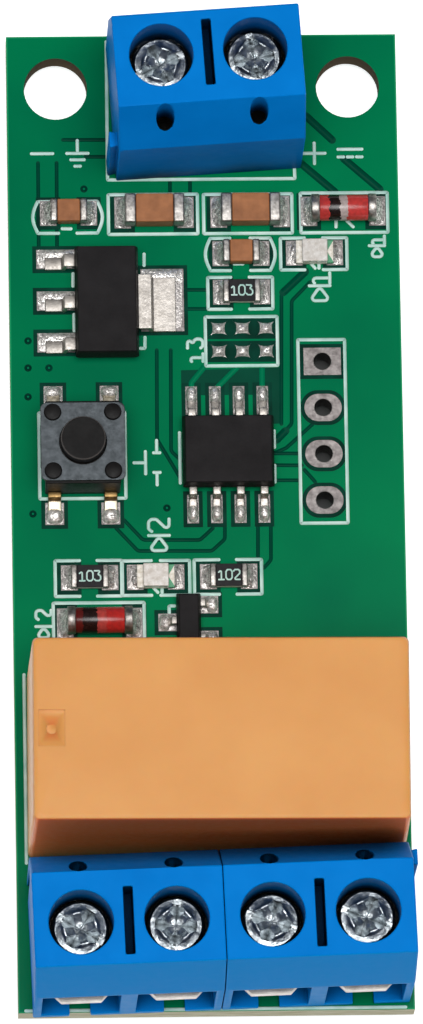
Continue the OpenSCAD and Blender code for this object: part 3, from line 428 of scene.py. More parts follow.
def join(*shapes):
    made = put(shapes[0].id_data, "GeometryNodeJoinGeometry")
    for shape in shapes:
        feed(made, 0, shape)
    return made.outputs[0]


def end_tree(geo, given, shape, rounded=True):
    """Makes a tree's instances real and gives the shape its shading and finish."""
    shape = geo("RealizeInstances", {0: shape})
    if rounded:
        shape = geo("SetShadeSmooth", {0: shape})
    shape = geo("SetMaterial", {"Geometry": shape, "Material": given["Finish"]})
    return after("NodeGroupOutput", {0: shape}).id_data


def line_tree():
    """Flat lines with round ends along the edges of a mesh."""
    geo, given = start_tree("flat_lines", ("Width", "Thickness", "Corner"))
    path = geo("MeshToCurve", {0: given["Geometry"]})
    path = geo("FilletCurve", {
        "Curve": path, "Count": 4, "Radius": given["Corner"], "Limit Radius": True}, mode="POLY")
    path = geo("SetCurveNormal", {0: path}, mode="Z_UP")
    section = geo("CurvePrimitiveQuadrilateral", {"Width": given["Width"], "Height": given["Thickness"]})
    line = geo("CurveToMesh", {"Curve": path, "Profile Curve": section, "Fill Caps": True})
    radius = times(given["Width"], 0.5)
    end_height = times(given["Thickness"], cap_share)
    end = geo("MeshCylinder", {"Vertices": 16, "Radius": radius, "Depth": end_height})
    ends = geo("CurveEndpointSelection")
    caps = geo("InstanceOnPoints", {"Points": path, "Selection": ends, "Instance": end})
    caps = geo("RealizeInstances", {0: caps})
    return end_tree(geo, given, join(line, caps), rounded=False)


def settle(made):
    """Turns an object with its modifiers into a plain mesh."""
    evaluated = made.evaluated_get(bpy.context.evaluated_depsgraph_get())
    result = bpy.data.meshes.new_from_object(evaluated)
    made.modifiers.clear()
    made.data = result
    return made


def grown(mesh, tree, values, body="board"):
    """Runs a node tree on a mesh and keeps the result as a plain mesh that rides on a body."""
    made = link_object(mesh.name, mesh)
    modifier = made.modifiers.new("grow", "NODES")
    modifier.node_group = tree
    for item in tree.interface.items_tree:
        if item.in_out == "INPUT" and item.name in values:
            modifier[item.identifier] = values[item.name]
    settle(made)
    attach(made, body)
    return made


flat_lines = line_tree()


def lines(name, paths, height, width, thickness, corner, material):
    """Flat lines along paths of (x, y) millimetres; a path that ends where it starts is closed.

    Neighbours lie at slightly different levels, so that no two tops share a plane where they cross.
    """
    points, edges = [], []
    for i, path in enumerate(paths):
        closed = path[0] == path[-1]
        stops = path[:-1] if closed else path
        first = len(points)
        level = height + thickness * (0.5 + level_step * (i % levels))
        points += [(px * MM, py * MM, level) for px, py in stops]
        edges += [(first + i, first + i + 1) for i in range(len(stops) - 1)]
        if closed:
            edges.append((len(points) - 1, first))
    return grown(mesh_of(name, points, edges), flat_lines, {
        "Width": width, "Thickness": thickness, "Corner": corner, "Finish": material})


channels = [
    [(-8.86, -4.1), (-8.88, -8.95)], [(-7.86, -4.1), (-7.9, -8.95)],
    [(-7.5, -2.83), (-5.1, -2.85)], [(-6.3, -3.78), (-5.1, -3.79)],
    [(-1.78, -5.2), (-1.79, -6.2)], [(-0.7, -5.2), (-0.71, -6.2)],
    [(-1.15, -11.19), (0.06, -11.2)], [(-1.15, -12.24), (0.06, -12.25)],
    [(-2.63, -14.5), (-2.69, -19.4), (-1.5, -21.5)],
    [(-1.88, -14.5), (-1.95, -20.05), (-1.4, -20.6)],
    [(5.51, -10.14), (4.11, -11.46), (3.98, -18.62)],
    [(5.66, -10.81), (4.65, -11.85), (4.53, -18.62), (3.9, -19.28), (3.56, -19.5)],
    [(5.67, -18.63), (5.13, -19.12), (4.2, -19.95), (3.6, -20.2)],
    [(5.16, -20.25), (3.5, -20.23)], [(5.04, -20.9), (3.6, -20.88)],
    [(4.85, -21.72), (3.7, -21.71)], [(5.17, -21.15), (5.74, -21.82)],
    [(-4.96, -24.24), (-3.8, -25.51), (0.15, -25.54), (0.85, -24.9), (0.86, -24.2)],
    [(-4.52, -23.81), (-3.52, -24.91), (-0.48, -24.94), (0.22, -24.3)],
    [(2.63, -24.1), (2.6, -25.9)],
    [(3.32, -24.1), (3.29, -26.07), (2.9, -26.5)],
]
broad_channels = [
    [(5.6, -1.6), (6.99, -2.95)], [(5.3, -4.25), (7.1, -5.85)], [(7.6, -4.0), (9.5, -5.7)],
    [(5.4, -10.25), (4.2, -11.38)], [(4.2, -19.0), (3.7, -19.5)],
]
lines("etched_channels", channels, board_top, channel_width, film, 0.3 * MM, channel_lacquer)
lines("broad_channels", broad_channels, board_top, broad_width, film, 0, channel_lacquer)

top_lands = [land for land in islands("solder_lands") if land.low.z > board_top - touch]


def coats(name, lands, moved):
    """A mesh of thin coats on lands; moved(number, land, point) says where each point goes."""
    points, faces = [], []
    for number, land in enumerate(lands):
        faces += [[len(points) + i for i in face] for face in land.faces]
        points += [moved(number, land, point) for point in land.points]
    return mesh_of(name, points, faces=faces)


def around_land(number, land, point):
    offset = point - land.middle
    return (
        land.middle.x + offset.x * (1 + 2 * moat / land.size.x),
        land.middle.y + offset.y * (1 + 2 * moat / land.size.y),
        board_top + (moat_film + moat_step * (number % moat_levels) if offset.z > 0 else 0),
    )


keep_piece(coats("land_clearances", top_lands, around_land), moat_lacquer)

patch = [(-1.35, -15.62), (4.1, -15.5), (4.05, -18.6), (3.5, -18.6), (3.45, -17.0), (-1.35, -17.0)]
patch_points = [(px * MM, py * MM, board_top + pz) for pz in (0, film) for px, py in patch]
sides = len(patch)
patch_faces = [list(range(sides)), list(range(sides, 2 * sides))[::-1]]
patch_faces += [[sides + i, sides + (i + 1) % sides, (i + 1) % sides, i] for i in range(sides)]
keep_piece(mesh_of("bare_patch", patch_points, faces=patch_faces), channel_lacquer)
tracks = [
    [(-0.06, -15.4), (-0.8, -16.3), (-0.83, -17.0)],
    [(1.75, -15.4), (0.6, -16.55), (0.45, -17.0)],
    [(3.0, -15.4), (2.98, -17.0)],
]
lines("tracks", tracks, board_top + film, track_width, film, 0.2 * MM, track_lacquer)


def dot_tree():
    """Low round domes with a dimple, on the points of a mesh."""
    geo, given = start_tree("vias", ("Radius", "Rise"))
    ring = geo("CurvePrimitiveCircle", {"Resolution": 20, "Radius": given["Radius"]})
    bead = geo("CurvePrimitiveCircle", {"Resolution": 8, "Radius": given["Rise"]})
    collar = geo("CurveToMesh", {"Curve": ring, "Profile Curve": bead})
    dimple = geo("MeshCylinder", {"Vertices": 20, "Radius": given["Radius"], "Depth": given["Rise"]})
    cover = join(collar, dimple)
    placed = geo("InstanceOnPoints", {"Points": given["Geometry"], "Instance": cover})
    return end_tree(geo, given, placed)


vias = [(-9.54, -15.42), (-8.42, -15.43), (-9.56, -17.01), (-9.38, -23.43), (-9.52, -13.93), (-6.41, -5.56),
        (-2.22, -23.17)]
via_dots = dot_tree()
# Each via gets a small lighter dot in its middle, a painted highlight.
for name, radius, rise, level, finish in (
        ("covered_vias", 0.15, 0.05, 0, moat_lacquer), ("via_painted_glints", 0.04, 0.03, 0.02, track_lacquer)):
    via_mesh = mesh_of(name, [(px * MM, py * MM, board_top + level * MM) for px, py in vias])
    grown(via_mesh, via_dots, {"Radius": radius * MM, "Rise": rise * MM, "Finish": finish})


# Solder lands and solder.
# Tinned copper areas take the leads. Melted solder lies on them as a low dull film, stands in bright
# drops at the toes of the leads, and climbs the metal ends of the chips as hollow fillets.
tin = grained("tinned_copper", ("#625D5C", "#8C8684"), 0.3, (0.4, 0.55), 0.1, 0.008, metal=1)
solder = grained("bright_solder", ("#A29E9A", "#FFFBF5"), 0.17, (0.2, 0.42), 0.14, 0.06, metal=0.55)
fillet_solder = grained("fillet_solder", ("#8E8A87", "#FFFBF5"), 0.2, (0.16, 0.34), 0.16, 0.08, metal=0.65)
dull_solder = grained("dull_solder", ("#8F8A87", "#CFCAC6"), 0.15, (0.4, 0.6), 0.1, 0.03, metal=1)
dress("solder_lands", tin)
edge_power = 3.0
hollow_power = 1.9
lump_size, lump_middle, lump_fade = 0.3 * MM, 0.45, 0.06 * MM


def vector(x, y, z):
    return after("ShaderNodeCombineXYZ", {0: x, 1: y, 2: z}).outputs[0]


def told(geo, name, kind):
    """What each point of the mesh says under that name."""
    return geo("InputNamedAttribute", {"Name": name}, data_type=kind)


def drop_tree():
    """Solder drops on the points of a mesh: pillows, or wedges that rise towards -X."""
    geo, given = start_tree("solder_drops", ("Wedge", "Pinch", "Base", "Lump Size", "Lump Height", "Seed"))
    block = geo("MeshCube", {"Size": (1, 1, 1), "Vertices X": 13, "Vertices Y": 11, "Vertices Z": 2})
    across, along, rise = split(geo("InputPosition"))
    round_x, round_y = [minus(1.0, reckon("POWER", unsigned(times(way, 2.0)), edge_power))
                        for way in (across, along)]
    hollow = reckon("POWER", minus(0.5, across), hollow_power)
    profile = after("ShaderNodeMix", {0: given["Wedge"], 2: round_x, 3: hollow}).outputs[0]
    crown = times(profile, round_y)
    lifted = times(reckon("ADD", rise, 0.5), crown)
    waist_x, waist_y = [minus(1.0, times(given["Pinch"], way)) for way in (round_y, round_x)]
    spot = vector(times(across, waist_x), times(along, waist_y), lifted)
    drop = geo("SetPosition", {"Geometry": block, "Position": spot})
    facing = vector(0.0, 0.0, told(geo, "turn", "FLOAT"))
    size = told(geo, "size", "FLOAT_VECTOR")
    drops = geo("InstanceOnPoints", {
        "Points": given["Geometry"], "Instance": drop, "Rotation": facing, "Scale": size})
    drops = geo("RealizeInstances", {0: drops})
    place = geo("InputPosition")
    lump_scale = reckon("DIVIDE", 1.0, given["Lump Size"])
    lumps = after("ShaderNodeTexNoise", {
        "Vector": place, "W": given["Seed"], "Scale": lump_scale, "Detail": 1.0}, noise_dimensions="4D")
    above = minus(split(place)[2], given["Base"])
    fade = span(above, 0.0, lump_fade)
    swell = times(minus(lumps.outputs[0], lump_middle), given["Lump Height"])
    shift = vector(0.0, 0.0, times(swell, fade))
    return end_tree(geo, given, geo("SetPosition", {"Geometry": drops, "Offset": shift}))


def tell(mesh, name, kind, field, values):
    """Gives each point of a mesh a value under a name."""
    for row, value in zip(mesh.attributes.new(name, kind, "POINT").data, values):
        setattr(row, field, value)


solder_drops = drop_tree()
land_top = max(land.high.z for land in top_lands)
solder_sink = 0.01 * MM
seat = land_top - solder_sink


def drops(name, spots, lump, seed, wedge=0.0, pinch=0.0, finish=solder):
    """Solder at (centre x, centre y, size x, size y, height, turn); lump is in millimetres."""
    mesh = mesh_of(name, [(spot[0], spot[1], seat) for spot in spots])
    tell(mesh, "size", "FLOAT_VECTOR", "vector", [spot[2:5] for spot in spots])
    tell(mesh, "turn", "FLOAT", "value", [spot[5] for spot in spots])
    return grown(mesh, solder_drops, {
        "Wedge": wedge, "Pinch": pinch, "Base": seat, "Lump Size": lump_size,
        "Lump Height": lump * MM, "Seed": seed, "Finish": finish})


header_places = [Vector(mount["pos_m"]) for name, mount in mounts.items() if name.startswith("header_hole")]
same_place = 0.2 * MM
same_row = 0.3 * MM


def is_header(land):
    return any((land.middle - place).xy.length < same_place for place in header_places)


def land_under(part):
    """The land that a lead or a metal end stands on."""
    def shared(land):
        return min(min(land.high[i], part.high[i]) - max(land.low[i], part.low[i]) for i in (0, 1))
    return max(top_lands, key=shared)


toe_height = {
    "regulator_leads": 0.2, "controller_leads": 0.42, "transistor_leads": 0.3, "button_legs": 0.34}
toe_under = 0.28 * MM
ball_share = 1.35
bead_share = 0.97
end_nodes = ("capacitor_ends", "resistor_ends", "diode_caps", "light_1_base", "light_2_base")
fillet_under = 0.1 * MM
fillet_most = 1.0 * MM
fillet_climb = 0.95
pillow_share = 0.98
pillow_height = 0.07 * MM
dot_share = 1.22
dot_height = 0.24 * MM
dot_pinch = 0.38
dark_film_share = 1.02
dark_land_film = Vector((0, 0, 0.006 * MM))
pillows, toes, balls, wedges, dots, used, bare_lands = [[] for _ in range(7)]
for node, height in toe_height.items():
    for lead in islands(node):
        land = land_under(lead)
        used.append(land)
        gaps = {
            0.0: land.high.x - lead.high.x,
            math.pi: lead.low.x - land.low.x,
            math.pi / 2: land.high.y - lead.high.y,
            -math.pi / 2: lead.low.y - land.low.y,
        }
        turn = max(gaps, key=gaps.get)
        reach = gaps[turn] + toe_under
        outward = Vector((math.cos(turn), math.sin(turn)))
        run, width = land.size.xy if abs(outward.x) > 0.5 else land.size.yx
        spot = land.middle.xy + outward * (run / 2 - reach / 2)
        if node == "regulator_leads":
            toes.append((*spot, reach, width * bead_share, height * MM, turn))
        else:
            balls.append((*spot, reach / ball_share, width / ball_share, height * MM, turn))
for node in end_nodes:
    for end in islands(node):
        for side, turn in ((1, 0.0), (-1, math.pi)):
            face = end.high.x if side > 0 else end.low.x
            lands_here = [land for land in top_lands if not is_header(land)
                          and abs(land.middle.y - end.middle.y) < same_row
                          and land.low.x < face < land.high.x
                          and side * (land.middle.x - end.middle.x) > 0]
            for land in lands_here:
                used.append(land)
                edge = land.high.x if side > 0 else land.low.x
                reach = abs(edge - face) + fillet_under
                middle = edge - side * reach / 2
                height = min(end.size.z, fillet_most) * fillet_climb
                wedges.append((middle, land.middle.y, reach, land.size.y * bead_share, height, turn))
for land in top_lands:
    if is_header(land):
        continue
    width, depth = land.size.xy
    if land in used:
        pillows.append((*land.middle.xy, width * pillow_share, depth * pillow_share, pillow_height, 0.0))
    else:
        dots.append((*land.middle.xy, width * dot_share, depth * dot_share, dot_height, 0.0))
        bare_lands.append(land)


def over_land(number, land, point):
    return land.middle + (point - land.middle) * dark_film_share + dark_land_film


# A dark green film covers the bare test lands, so that they look dark beside the solder dots.
keep_piece(coats("dark_land_film", bare_lands, over_land), moat_lacquer)
drops("test_dots", dots, lump=0.12, seed=2.5, pinch=dot_pinch)
drops("solder_pillows", pillows, lump=0.12, seed=1.5, finish=dull_solder)
drops("solder_toes", toes, lump=0.16, seed=4.0)
drops("solder_balls", balls, lump=0.16, seed=5.5, pinch=1 - ball_share)
drops("solder_fillets", wedges, lump=0.2, seed=7.5, wedge=1.0, finish=fillet_solder)


# Solder below the board.
# Each pin of the terminals and the relay goes through the board and is soldered below, where the
# solder draws up the pin as a hollow cone. The header holes are plated through and left open.
cone_power = 2.2
cone_tip = 0.55
plating_thickness = 0.03 * MM
fine_weld = 1e-8
barrel_steps = 32


def cone_tree():
    """Hollow cones that hang from the points of a mesh."""
    geo, given = start_tree("solder_cones", ("Tip Share",))
    drum = geo("MeshCylinder", {"Vertices": 28, "Side Segments": 8, "Radius": 1.0, "Depth": 1.0})
    x, y, z = split(geo("InputPosition"))
    share = reckon("POWER", reckon("ADD", z, 0.5), cone_power)
    wide = span(share, 0.0, 1.0, given["Tip Share"], 1.0)
    spot = vector(times(x, wide), times(y, wide), minus(z, 0.5))
    cone = geo("SetPosition", {"Geometry": drum, "Position": spot})
    cones = geo("InstanceOnPoints", {
        "Points": given["Geometry"], "Instance": cone, "Scale": told(geo, "size", "FLOAT_VECTOR")})
    return end_tree(geo, given, cones)


joints_below = islands("solder_joints")
cone_mesh = mesh_of("pin_solder", [(*part.middle.xy, part.high.z) for part in joints_below])
half_width = Vector((0.5, 0.5, 1))
tell(cone_mesh, "size", "FLOAT_VECTOR", "vector", [part.size * half_width for part in joints_below])
pin_solder = grown(cone_mesh, cone_tree(), {"Tip Share": cone_tip, "Finish": solder})
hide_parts("solder_joints")


def mesh_from(name, shape):
    mesh = bpy.data.meshes.new(name)
    shape.to_mesh(mesh)
    shape.free()
    return mesh


def revolve(name, profile, place, steps):
    """A closed mesh turned from (radius, height) points about a vertical axis at a place."""
    shape = bmesh.new()
    points = [shape.verts.new((radius, 0, height)) for radius, height in profile]
    edges = [shape.edges.new(pair) for pair in zip(points, points[1:])]
    bmesh.ops.spin(shape, geom=points + edges, axis=(0, 0, 1), cent=(0, 0, 0),
                   angle=2 * math.pi, steps=steps, use_merge=True)
    bmesh.ops.remove_doubles(shape, verts=shape.verts, dist=fine_weld)
    bmesh.ops.recalc_face_normals(shape, faces=shape.faces)
    bmesh.ops.translate(shape, verts=shape.verts, vec=place)
    return mesh_from(name, shape)


def smooth(mesh, angle=35):
    mesh.shade_smooth()
    mesh.set_sharp_from_angle(angle=math.radians(angle))
    return mesh


plating = grained("hole_plating", ("#3C3B3A", "#6A6764"), 0.3, (0.3, 0.5), 0.1, 0.004, metal=1)
bore = mounts["header_hole_1"]["dims"]["r_mm"] * MM
lining = bore - plating_thickness
low, high = 2 * board_low.z - land_top + board_top, land_top
tube = [(bore, low), (bore, high), (lining, high), (lining, low), (bore, low)]
for i, place in enumerate(header_places, 1):
    barrel = revolve(f"header_plating_{i}", tube, (place.x, place.y, 0), barrel_steps)
    keep_piece(smooth(barrel), plating)


# White print.
# Thick pale ink on the lacquer, with a frame around most parts. Plain signs and numbers mark the
# supply, the lights, the diodes, the test dots and the button.
ink = grained("white_ink", ("#A8D5C8", "#D8F0E7"), 1.2, (0.5, 0.7), 0.12, 0.005)
frame_width = 0.175 * MM
sign_width = 0.17 * MM
ink_film = 0.022 * MM
signs = {
    "0": [[(0, 0.2), (0, 0.8), (0.15, 1), (0.45, 1), (0.6, 0.8), (0.6, 0.2), (0.45, 0), (0.15, 0), (0, 0.2)]],
    "1": [[(0.05, 0.75), (0.3, 1), (0.3, 0)], [(0.05, 0), (0.55, 0)]],
    "2": [[(0, 0.85), (0.12, 1), (0.48, 1), (0.6, 0.85), (0.6, 0.62), (0, 0), (0.6, 0)]],
    "3": [[(0, 1), (0.6, 1), (0.28, 0.6), (0.48, 0.58), (0.6, 0.42), (0.6, 0.15), (0.45, 0), (0.12, 0),
           (0, 0.13)]],
    "minus": [[(0, 0.5), (0.8, 0.5)]],
    "plus": [[(0, 0.5), (0.8, 0.5)], [(0.4, 0.1), (0.4, 0.9)]],
    "earth": [[(0.4, 1), (0.4, 0.5)], [(0, 0.5), (0.8, 0.5)], [(0.15, 0.25), (0.65, 0.25)],
              [(0.3, 0), (0.5, 0)]],
    "steady": [[(0, 0.65), (0.9, 0.65)], [(0, 0.35), (0.2, 0.35)], [(0.35, 0.35), (0.55, 0.35)],
               [(0.7, 0.35), (0.9, 0.35)]],
    "diode": [[(0, 0), (0, 1), (0.7, 0.5), (0, 0)], [(0.75, 0), (0.75, 1)]],
    "press": [[(0, 0), (0.5, 0)], [(0.5, -0.12), (0.5, 0.12)], [(1.3, -0.12), (1.3, 0.12)],
              [(1.3, 0), (1.8, 0)], [(0.45, 0.45), (1.35, 0.45)], [(0.9, 0.45), (0.9, 0.9)]],
}


def sign(name, left, bottom, height, turn=0):
    """A sign's strokes as paths in millimetres, from its lower left corner."""
    c, s = math.cos(math.radians(turn)), math.sin(math.radians(turn))
    return [[(left + (c * px - s * py) * height, bottom + (s * px + c * py) * height) for px, py in stroke]
            for stroke in signs[name]]


def rectangle(x0, x1, y0, y1):
    return [(x0, y0), (x1, y0), (x1, y1), (x0, y1), (x0, y0)]


def split_frame(x0, x1, y0, y1, gap):
    """A frame whose long sides are open in the middle."""
    a, b = (x0 + x1) / 2 - gap / 2, (x0 + x1) / 2 + gap / 2
    return [[(a, y0), (x0, y0), (x0, y1), (a, y1)], [(b, y0), (x1, y0), (x1, y1), (b, y1)]]


def bulged_frame(x0, x1, y0, y1, gap):
    """Two round brackets, as around the small capacitors."""
    middle, bulge = (x0 + x1) / 2, 0.27
    paths = []
    for x, side in ((x0, -1), (x1, 1)):
        inner = middle + side * gap / 2
        bow = [(x - side * bulge * (1 - math.sin(math.pi * i / 10)), y0 + (y1 - y0) * i / 10)
               for i in range(11)]
        paths.append([(inner, y0), *bow, (inner, y1)])
    return paths


print_paths = [
    [(-5.1, 2.6), (-5.13, -5.08), (4.95, -5.08), (4.93, -4.4)],
    [(-9.97, -32.2), (-9.97, -42.4)],
    [(-10.1, -50.36), (10.0, -50.36)],
    rectangle(-9.0, -4.4, -22.62, -17.9),
    rectangle(-5.12, -0.32, -8.1, -5.9),
    rectangle(0.0, 4.76, -8.1, -5.92),
    rectangle(5.22, 9.9, -8.1, -5.89),
    rectangle(-0.01, 3.85, -15.4, -12.7),
    rectangle(4.94, 7.45, -24.08, -14.0),
    [(-1.48, -19.06), (-1.48, -21.81)],
    [(3.58, -19.0), (3.58, -19.9)], [(3.58, -20.9), (3.58, -21.8)],
    [(-8.37, -31.5), (-8.37, -28.32), (-3.52, -28.32), (-3.52, -31.5)],
    [(-2.19, -29.2), (-2.19, -28.53), (-1.9, -28.53)],
    [(-3.23, -9.2), (-3.24, -9.82)], [(-3.25, -13.8), (-3.26, -14.4), (-3.5, -14.4)],
    [(-7.06, -10.25), (-7.07, -10.93)], [(-7.04, -12.5), (-7.04, -13.4)],
    [(-7.6, -7.76), (-7.14, -7.77)], [(1.6, -9.78), (2.07, -9.78)],
    [(7.12, -7.44), (7.11, -7.78)], [(7.71, -7.45), (8.03, -7.78)],
    [(6.16, -9.65), (6.15, -10.05)], [(5.62, -9.65), (5.94, -10.05)],
    [(-2.55, -27.44), (-2.55, -27.78)], [(-3.08, -27.44), (-2.78, -27.78)],
]
print_paths += bulged_frame(-9.18, -5.44, -8.01, -6.25, 1.0)
print_paths += bulged_frame(0.06, 3.81, -10.15, -8.36, 1.1)
for box in ((0.16, 3.64, -12.28, -10.52, 1.0), (4.1, 7.67, -10.14, -8.38, 1.0),
            (-8.24, -4.69, -27.96, -26.01, 0.95), (-4.66, -1.06, -27.94, -26.05, 0.5),
            (-0.82, 2.78, -27.92, -26.03, 0.95)):
    print_paths += split_frame(*box)
sign_paths = []
for place in (
        ("minus", -9.2, -4.3, 1.42, 0), ("earth", -7.3, -4.3, 1.42, 0),
        ("plus", 5.45, -4.4, 1.42, 0), ("steady", 7.3, -4.4, 1.42, 0),
        ("1", -0.16, -15.18, 0.82, 90), ("3", -0.16, -14.4, 0.82, 90),
        ("diode", 6.72, -11.85, 1.1, 90), ("1", 6.72, -10.93, 1.1, 90),
        ("diode", 9.7, -9.45, 0.82, 90), ("1", 9.7, -8.76, 0.82, 90),
        ("diode", -2.12, -25.5, 1.1, 90), ("2", -2.12, -24.45, 1.1, 90),
        ("diode", -8.48, -30.2, 0.82, 90), ("2", -8.48, -29.2, 0.82, 90),
        ("press", -2.72, -21.9, 1.35, 90)):
    sign_paths += sign(*place)
lines("print_frames", print_paths, board_top + film, frame_width, ink_film, 0.05 * MM, ink)
lines("print_signs", sign_paths, board_top + film, sign_width, ink_film, 0.15 * MM, ink)


# Screw terminals.
# Each block is moulded in blue plastic. In every pole a zinc-plated screw lifts a cage that presses
# the wire against a plated contact strip, whose pin is soldered through the board.
terminal_blue = grained("terminal_blue", ("#0079D0", "#0381DA"), 2.5, (0.35, 0.45), 0.5, 0.003, gloss=0.015)
zinc = grained("screw_zinc", ("#7A8286", "#C4CACD"), 0.4, (0.28, 0.48), 0.35, 0.06, metal=1)
plated = grained("plated_strip", ("#B4AFA9", "#D8D3CD"), 0.6, (0.4, 0.55), 0.2, 0.006, metal=0.9, gloss=0.1)


def retone(material, tone, share):
    """Mixes a second tone into a finish; share(tree) makes the socket that says how much."""
    tree = material.node_tree
    shader = next(node for node in tree.nodes if node.type == "BSDF_PRINCIPLED")
    own = shader.inputs["Base Color"].links[0].from_socket
    feed(shader, "Base Color", mix_tones(share(tree), own, tone))


def painted_hole_shade(reach, open_from, closed=0.12):
    """How far a place lies down in a hole or slot of some millimetres, where painted shade darkens it."""
    def share(tree):
        sight = put(tree, "ShaderNodeAmbientOcclusion", {"Distance": reach * MM}, samples=6)
        return span(sight.outputs["AO"], closed, open_from, 1.0, 0.0)
    return share


def reading(tree, kind, axis):
    """Where a point is, or how far its face leans, along an axis of the part."""
    return split(put(tree, "ShaderNodeTexCoord").outputs[kind])[axis]


def towards_front(tree):
    """Faces that lean towards the wire entries, which get more light from the room."""
    return span(reading(tree, "Normal", "Y"), -0.3, -0.8)


# The output blocks take a copy of the blue with painted light on the faces towards the wire entries.
output_blue = terminal_blue.copy()
output_blue.name = "output_blue"
retone(output_blue, "#008DDC", towards_front)
# Painted shade darkens the blue plastic, the zinc and the plated strips down in holes, slots and wells.
for blue in (terminal_blue, output_blue):
    retone(blue, "#000E1E", painted_hole_shade(2.4, 0.8))
retone(zinc, "#23272A", painted_hole_shade(0.5, 0.8))
retone(plated, "#040303", painted_hole_shade(4, 0.5))


flat_angle, sharp_angle = math.radians(1), math.radians(40)
corner_steps = 6


def softened(node, edge, material, body="board", steps=2, shortest=0.0, corner=0.0, crease=50):
    """A copy of a CAD solid with its sharp edges rounded and its flats kept flat, in the solid's place.

    Edge is the width of the rounding, shortest the least edge to round and corner the radius of the
    upright corners, in millimetres; crease is the angle that still looks sharp.
    """
    shape = welded(node)
    rounding = {"offset_type": "OFFSET", "profile": 0.5, "affect": "EDGES", "clamp_overlap": False}
    if edge:
        bmesh.ops.dissolve_limit(shape, angle_limit=flat_angle, verts=shape.verts, edges=shape.edges)
    if corner:
        low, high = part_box(node)
        upright = [e for e in shape.edges if all(
            min(abs(v.co[i] - low[i]), abs(v.co[i] - high[i])) < touch for v in e.verts for i in (0, 1))
            and (e.verts[0].co - e.verts[1].co).xy.length < weld]
        bmesh.ops.bevel(shape, geom=upright, offset=corner * MM, segments=corner_steps, **rounding)
    if edge:
        turns = [e for e in shape.edges if len(e.link_faces) == 2 and e.calc_length() > shortest * MM
                 and abs(e.calc_face_angle(0)) > sharp_angle]
        bmesh.ops.bevel(shape, geom=turns, offset=edge * MM, segments=steps, **rounding)
    bmesh.ops.recalc_face_normals(shape, faces=shape.faces)
    made = keep_piece(smooth(mesh_from(f"{node}_look", shape), crease), material, body)
    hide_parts(node)
    even = made.modifiers.new("even", "WEIGHTED_NORMAL")
    even.mode = "FACE_AREA"
    even.keep_sharp = True
    return settle(made)


for node in ("supply_housing", "output_housing_left", "output_housing_right"):
    blue = terminal_blue if node == "supply_housing" else output_blue
    softened(node, 0.08, blue, shortest=0.1, crease=20)
for node in ("supply_contacts", "output_contacts_left", "output_contacts_right"):
    softened(node, 0.05, plated)


def screw_tree():
    """Cuts a cross of two grooves and the open ends of a slot into a turned screw, and places it."""
    geo, given = start_tree(
        "clamp_screw", ("Top", "Notch Reach", "Turn"), ("Notch Size", "Cross Size", "Seat"))
    cut = after("GeometryNodeMeshBoolean", {0: given["Geometry"]}, operation="DIFFERENCE", solver="EXACT")
    notch = geo("MeshCube", {"Size": given["Notch Size"]})
    for side in (-1.0, 1.0):
        rim = vector(times(given["Notch Reach"], side), 0.0, given["Top"])
        feed(cut, 1, geo("Transform", {"Geometry": notch, "Translation": rim}))
    bar = geo("MeshCube", {"Size": given["Cross Size"]})
    groove = geo("Transform", {"Geometry": bar, "Rotation": (math.pi / 4, 0, 0)})
    level = vector(0.0, 0.0, given["Top"])
    for arm_turn in (0, math.pi / 2):
        turned = (0, 0, arm_turn)
        feed(cut, 1, geo("Transform", {"Geometry": groove, "Translation": level, "Rotation": turned}))
    facing = vector(0.0, 0.0, given["Turn"])
    placed = geo("Transform", {"Geometry": cut.outputs[0], "Translation": given["Seat"], "Rotation": facing})
    return end_tree(geo, given, placed, rounded=False)


clamp_screw = screw_tree()
head_height = 1.1 * MM
thread_radius = 1.2 * MM
thread_depth = 0.16 * MM
thread_pitch = 0.4 * MM
tip_bevel = 0.3 * MM
screw_crease = 42
screw_steps = 48
head_rim = ((0.08, 0), (0, 0.08), (0, 0.5), (0.05, 0.67), (0.17, 0.82))
head_dish = (
    (1.34, 0.89), (1.05, 0.93), (0.98, 0.99), (0.92, 1.06), (0.87, 1.095), (0.82, 1.1), (0.76, 1.07),
    (0.66, 0.97), (0.5, 0.82), (0.3, 0.72), (0, 0.68))
notch_size = (1.0 * MM, 0.4 * MM, 0.7 * MM)
notch_reach = 1.5 * MM
cross_size = (2.2 * MM, 0.62 * MM, 0.62 * MM)
screw_turns = {
    "supply_screw_left": 26, "supply_screw_right": 101, "output_screw_1": -31, "output_screw_2": 85,
    "output_screw_3": -18, "output_screw_4": -21}
for node, angle in screw_turns.items():
    low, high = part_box(node)
    radius = (high.x - low.x) / 2
    shank = high.z - low.z - head_height
    blank = [(0, 0), (thread_radius - tip_bevel, 0)]
    ridges = int(shank / thread_pitch)
    for i in range(ridges):
        blank += [(thread_radius - thread_depth, (i + 0.25) * shank / ridges),
                  (thread_radius, (i + 0.75) * shank / ridges)]
    blank.append((thread_radius - thread_depth, shank))
    blank += [(radius - inset * MM, shank + rise * MM) for inset, rise in head_rim]
    blank += [(reach * MM, shank + rise * MM) for reach, rise in head_dish]
    middle = (low + high) / 2
    screw = grown(revolve(f"{node}_look", blank, (0, 0, 0), screw_steps), clamp_screw, {
        "Top": shank + head_height, "Notch Size": notch_size, "Notch Reach": notch_reach,
        "Cross Size": cross_size, "Turn": math.radians(angle), "Seat": (middle.x, middle.y, low.z),
        "Finish": zinc}, node)
    smooth(screw.data, screw_crease)
    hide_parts(node)
    cage = node.replace("screw", "cage")
    softened(cage, 0.05, plated, cage)


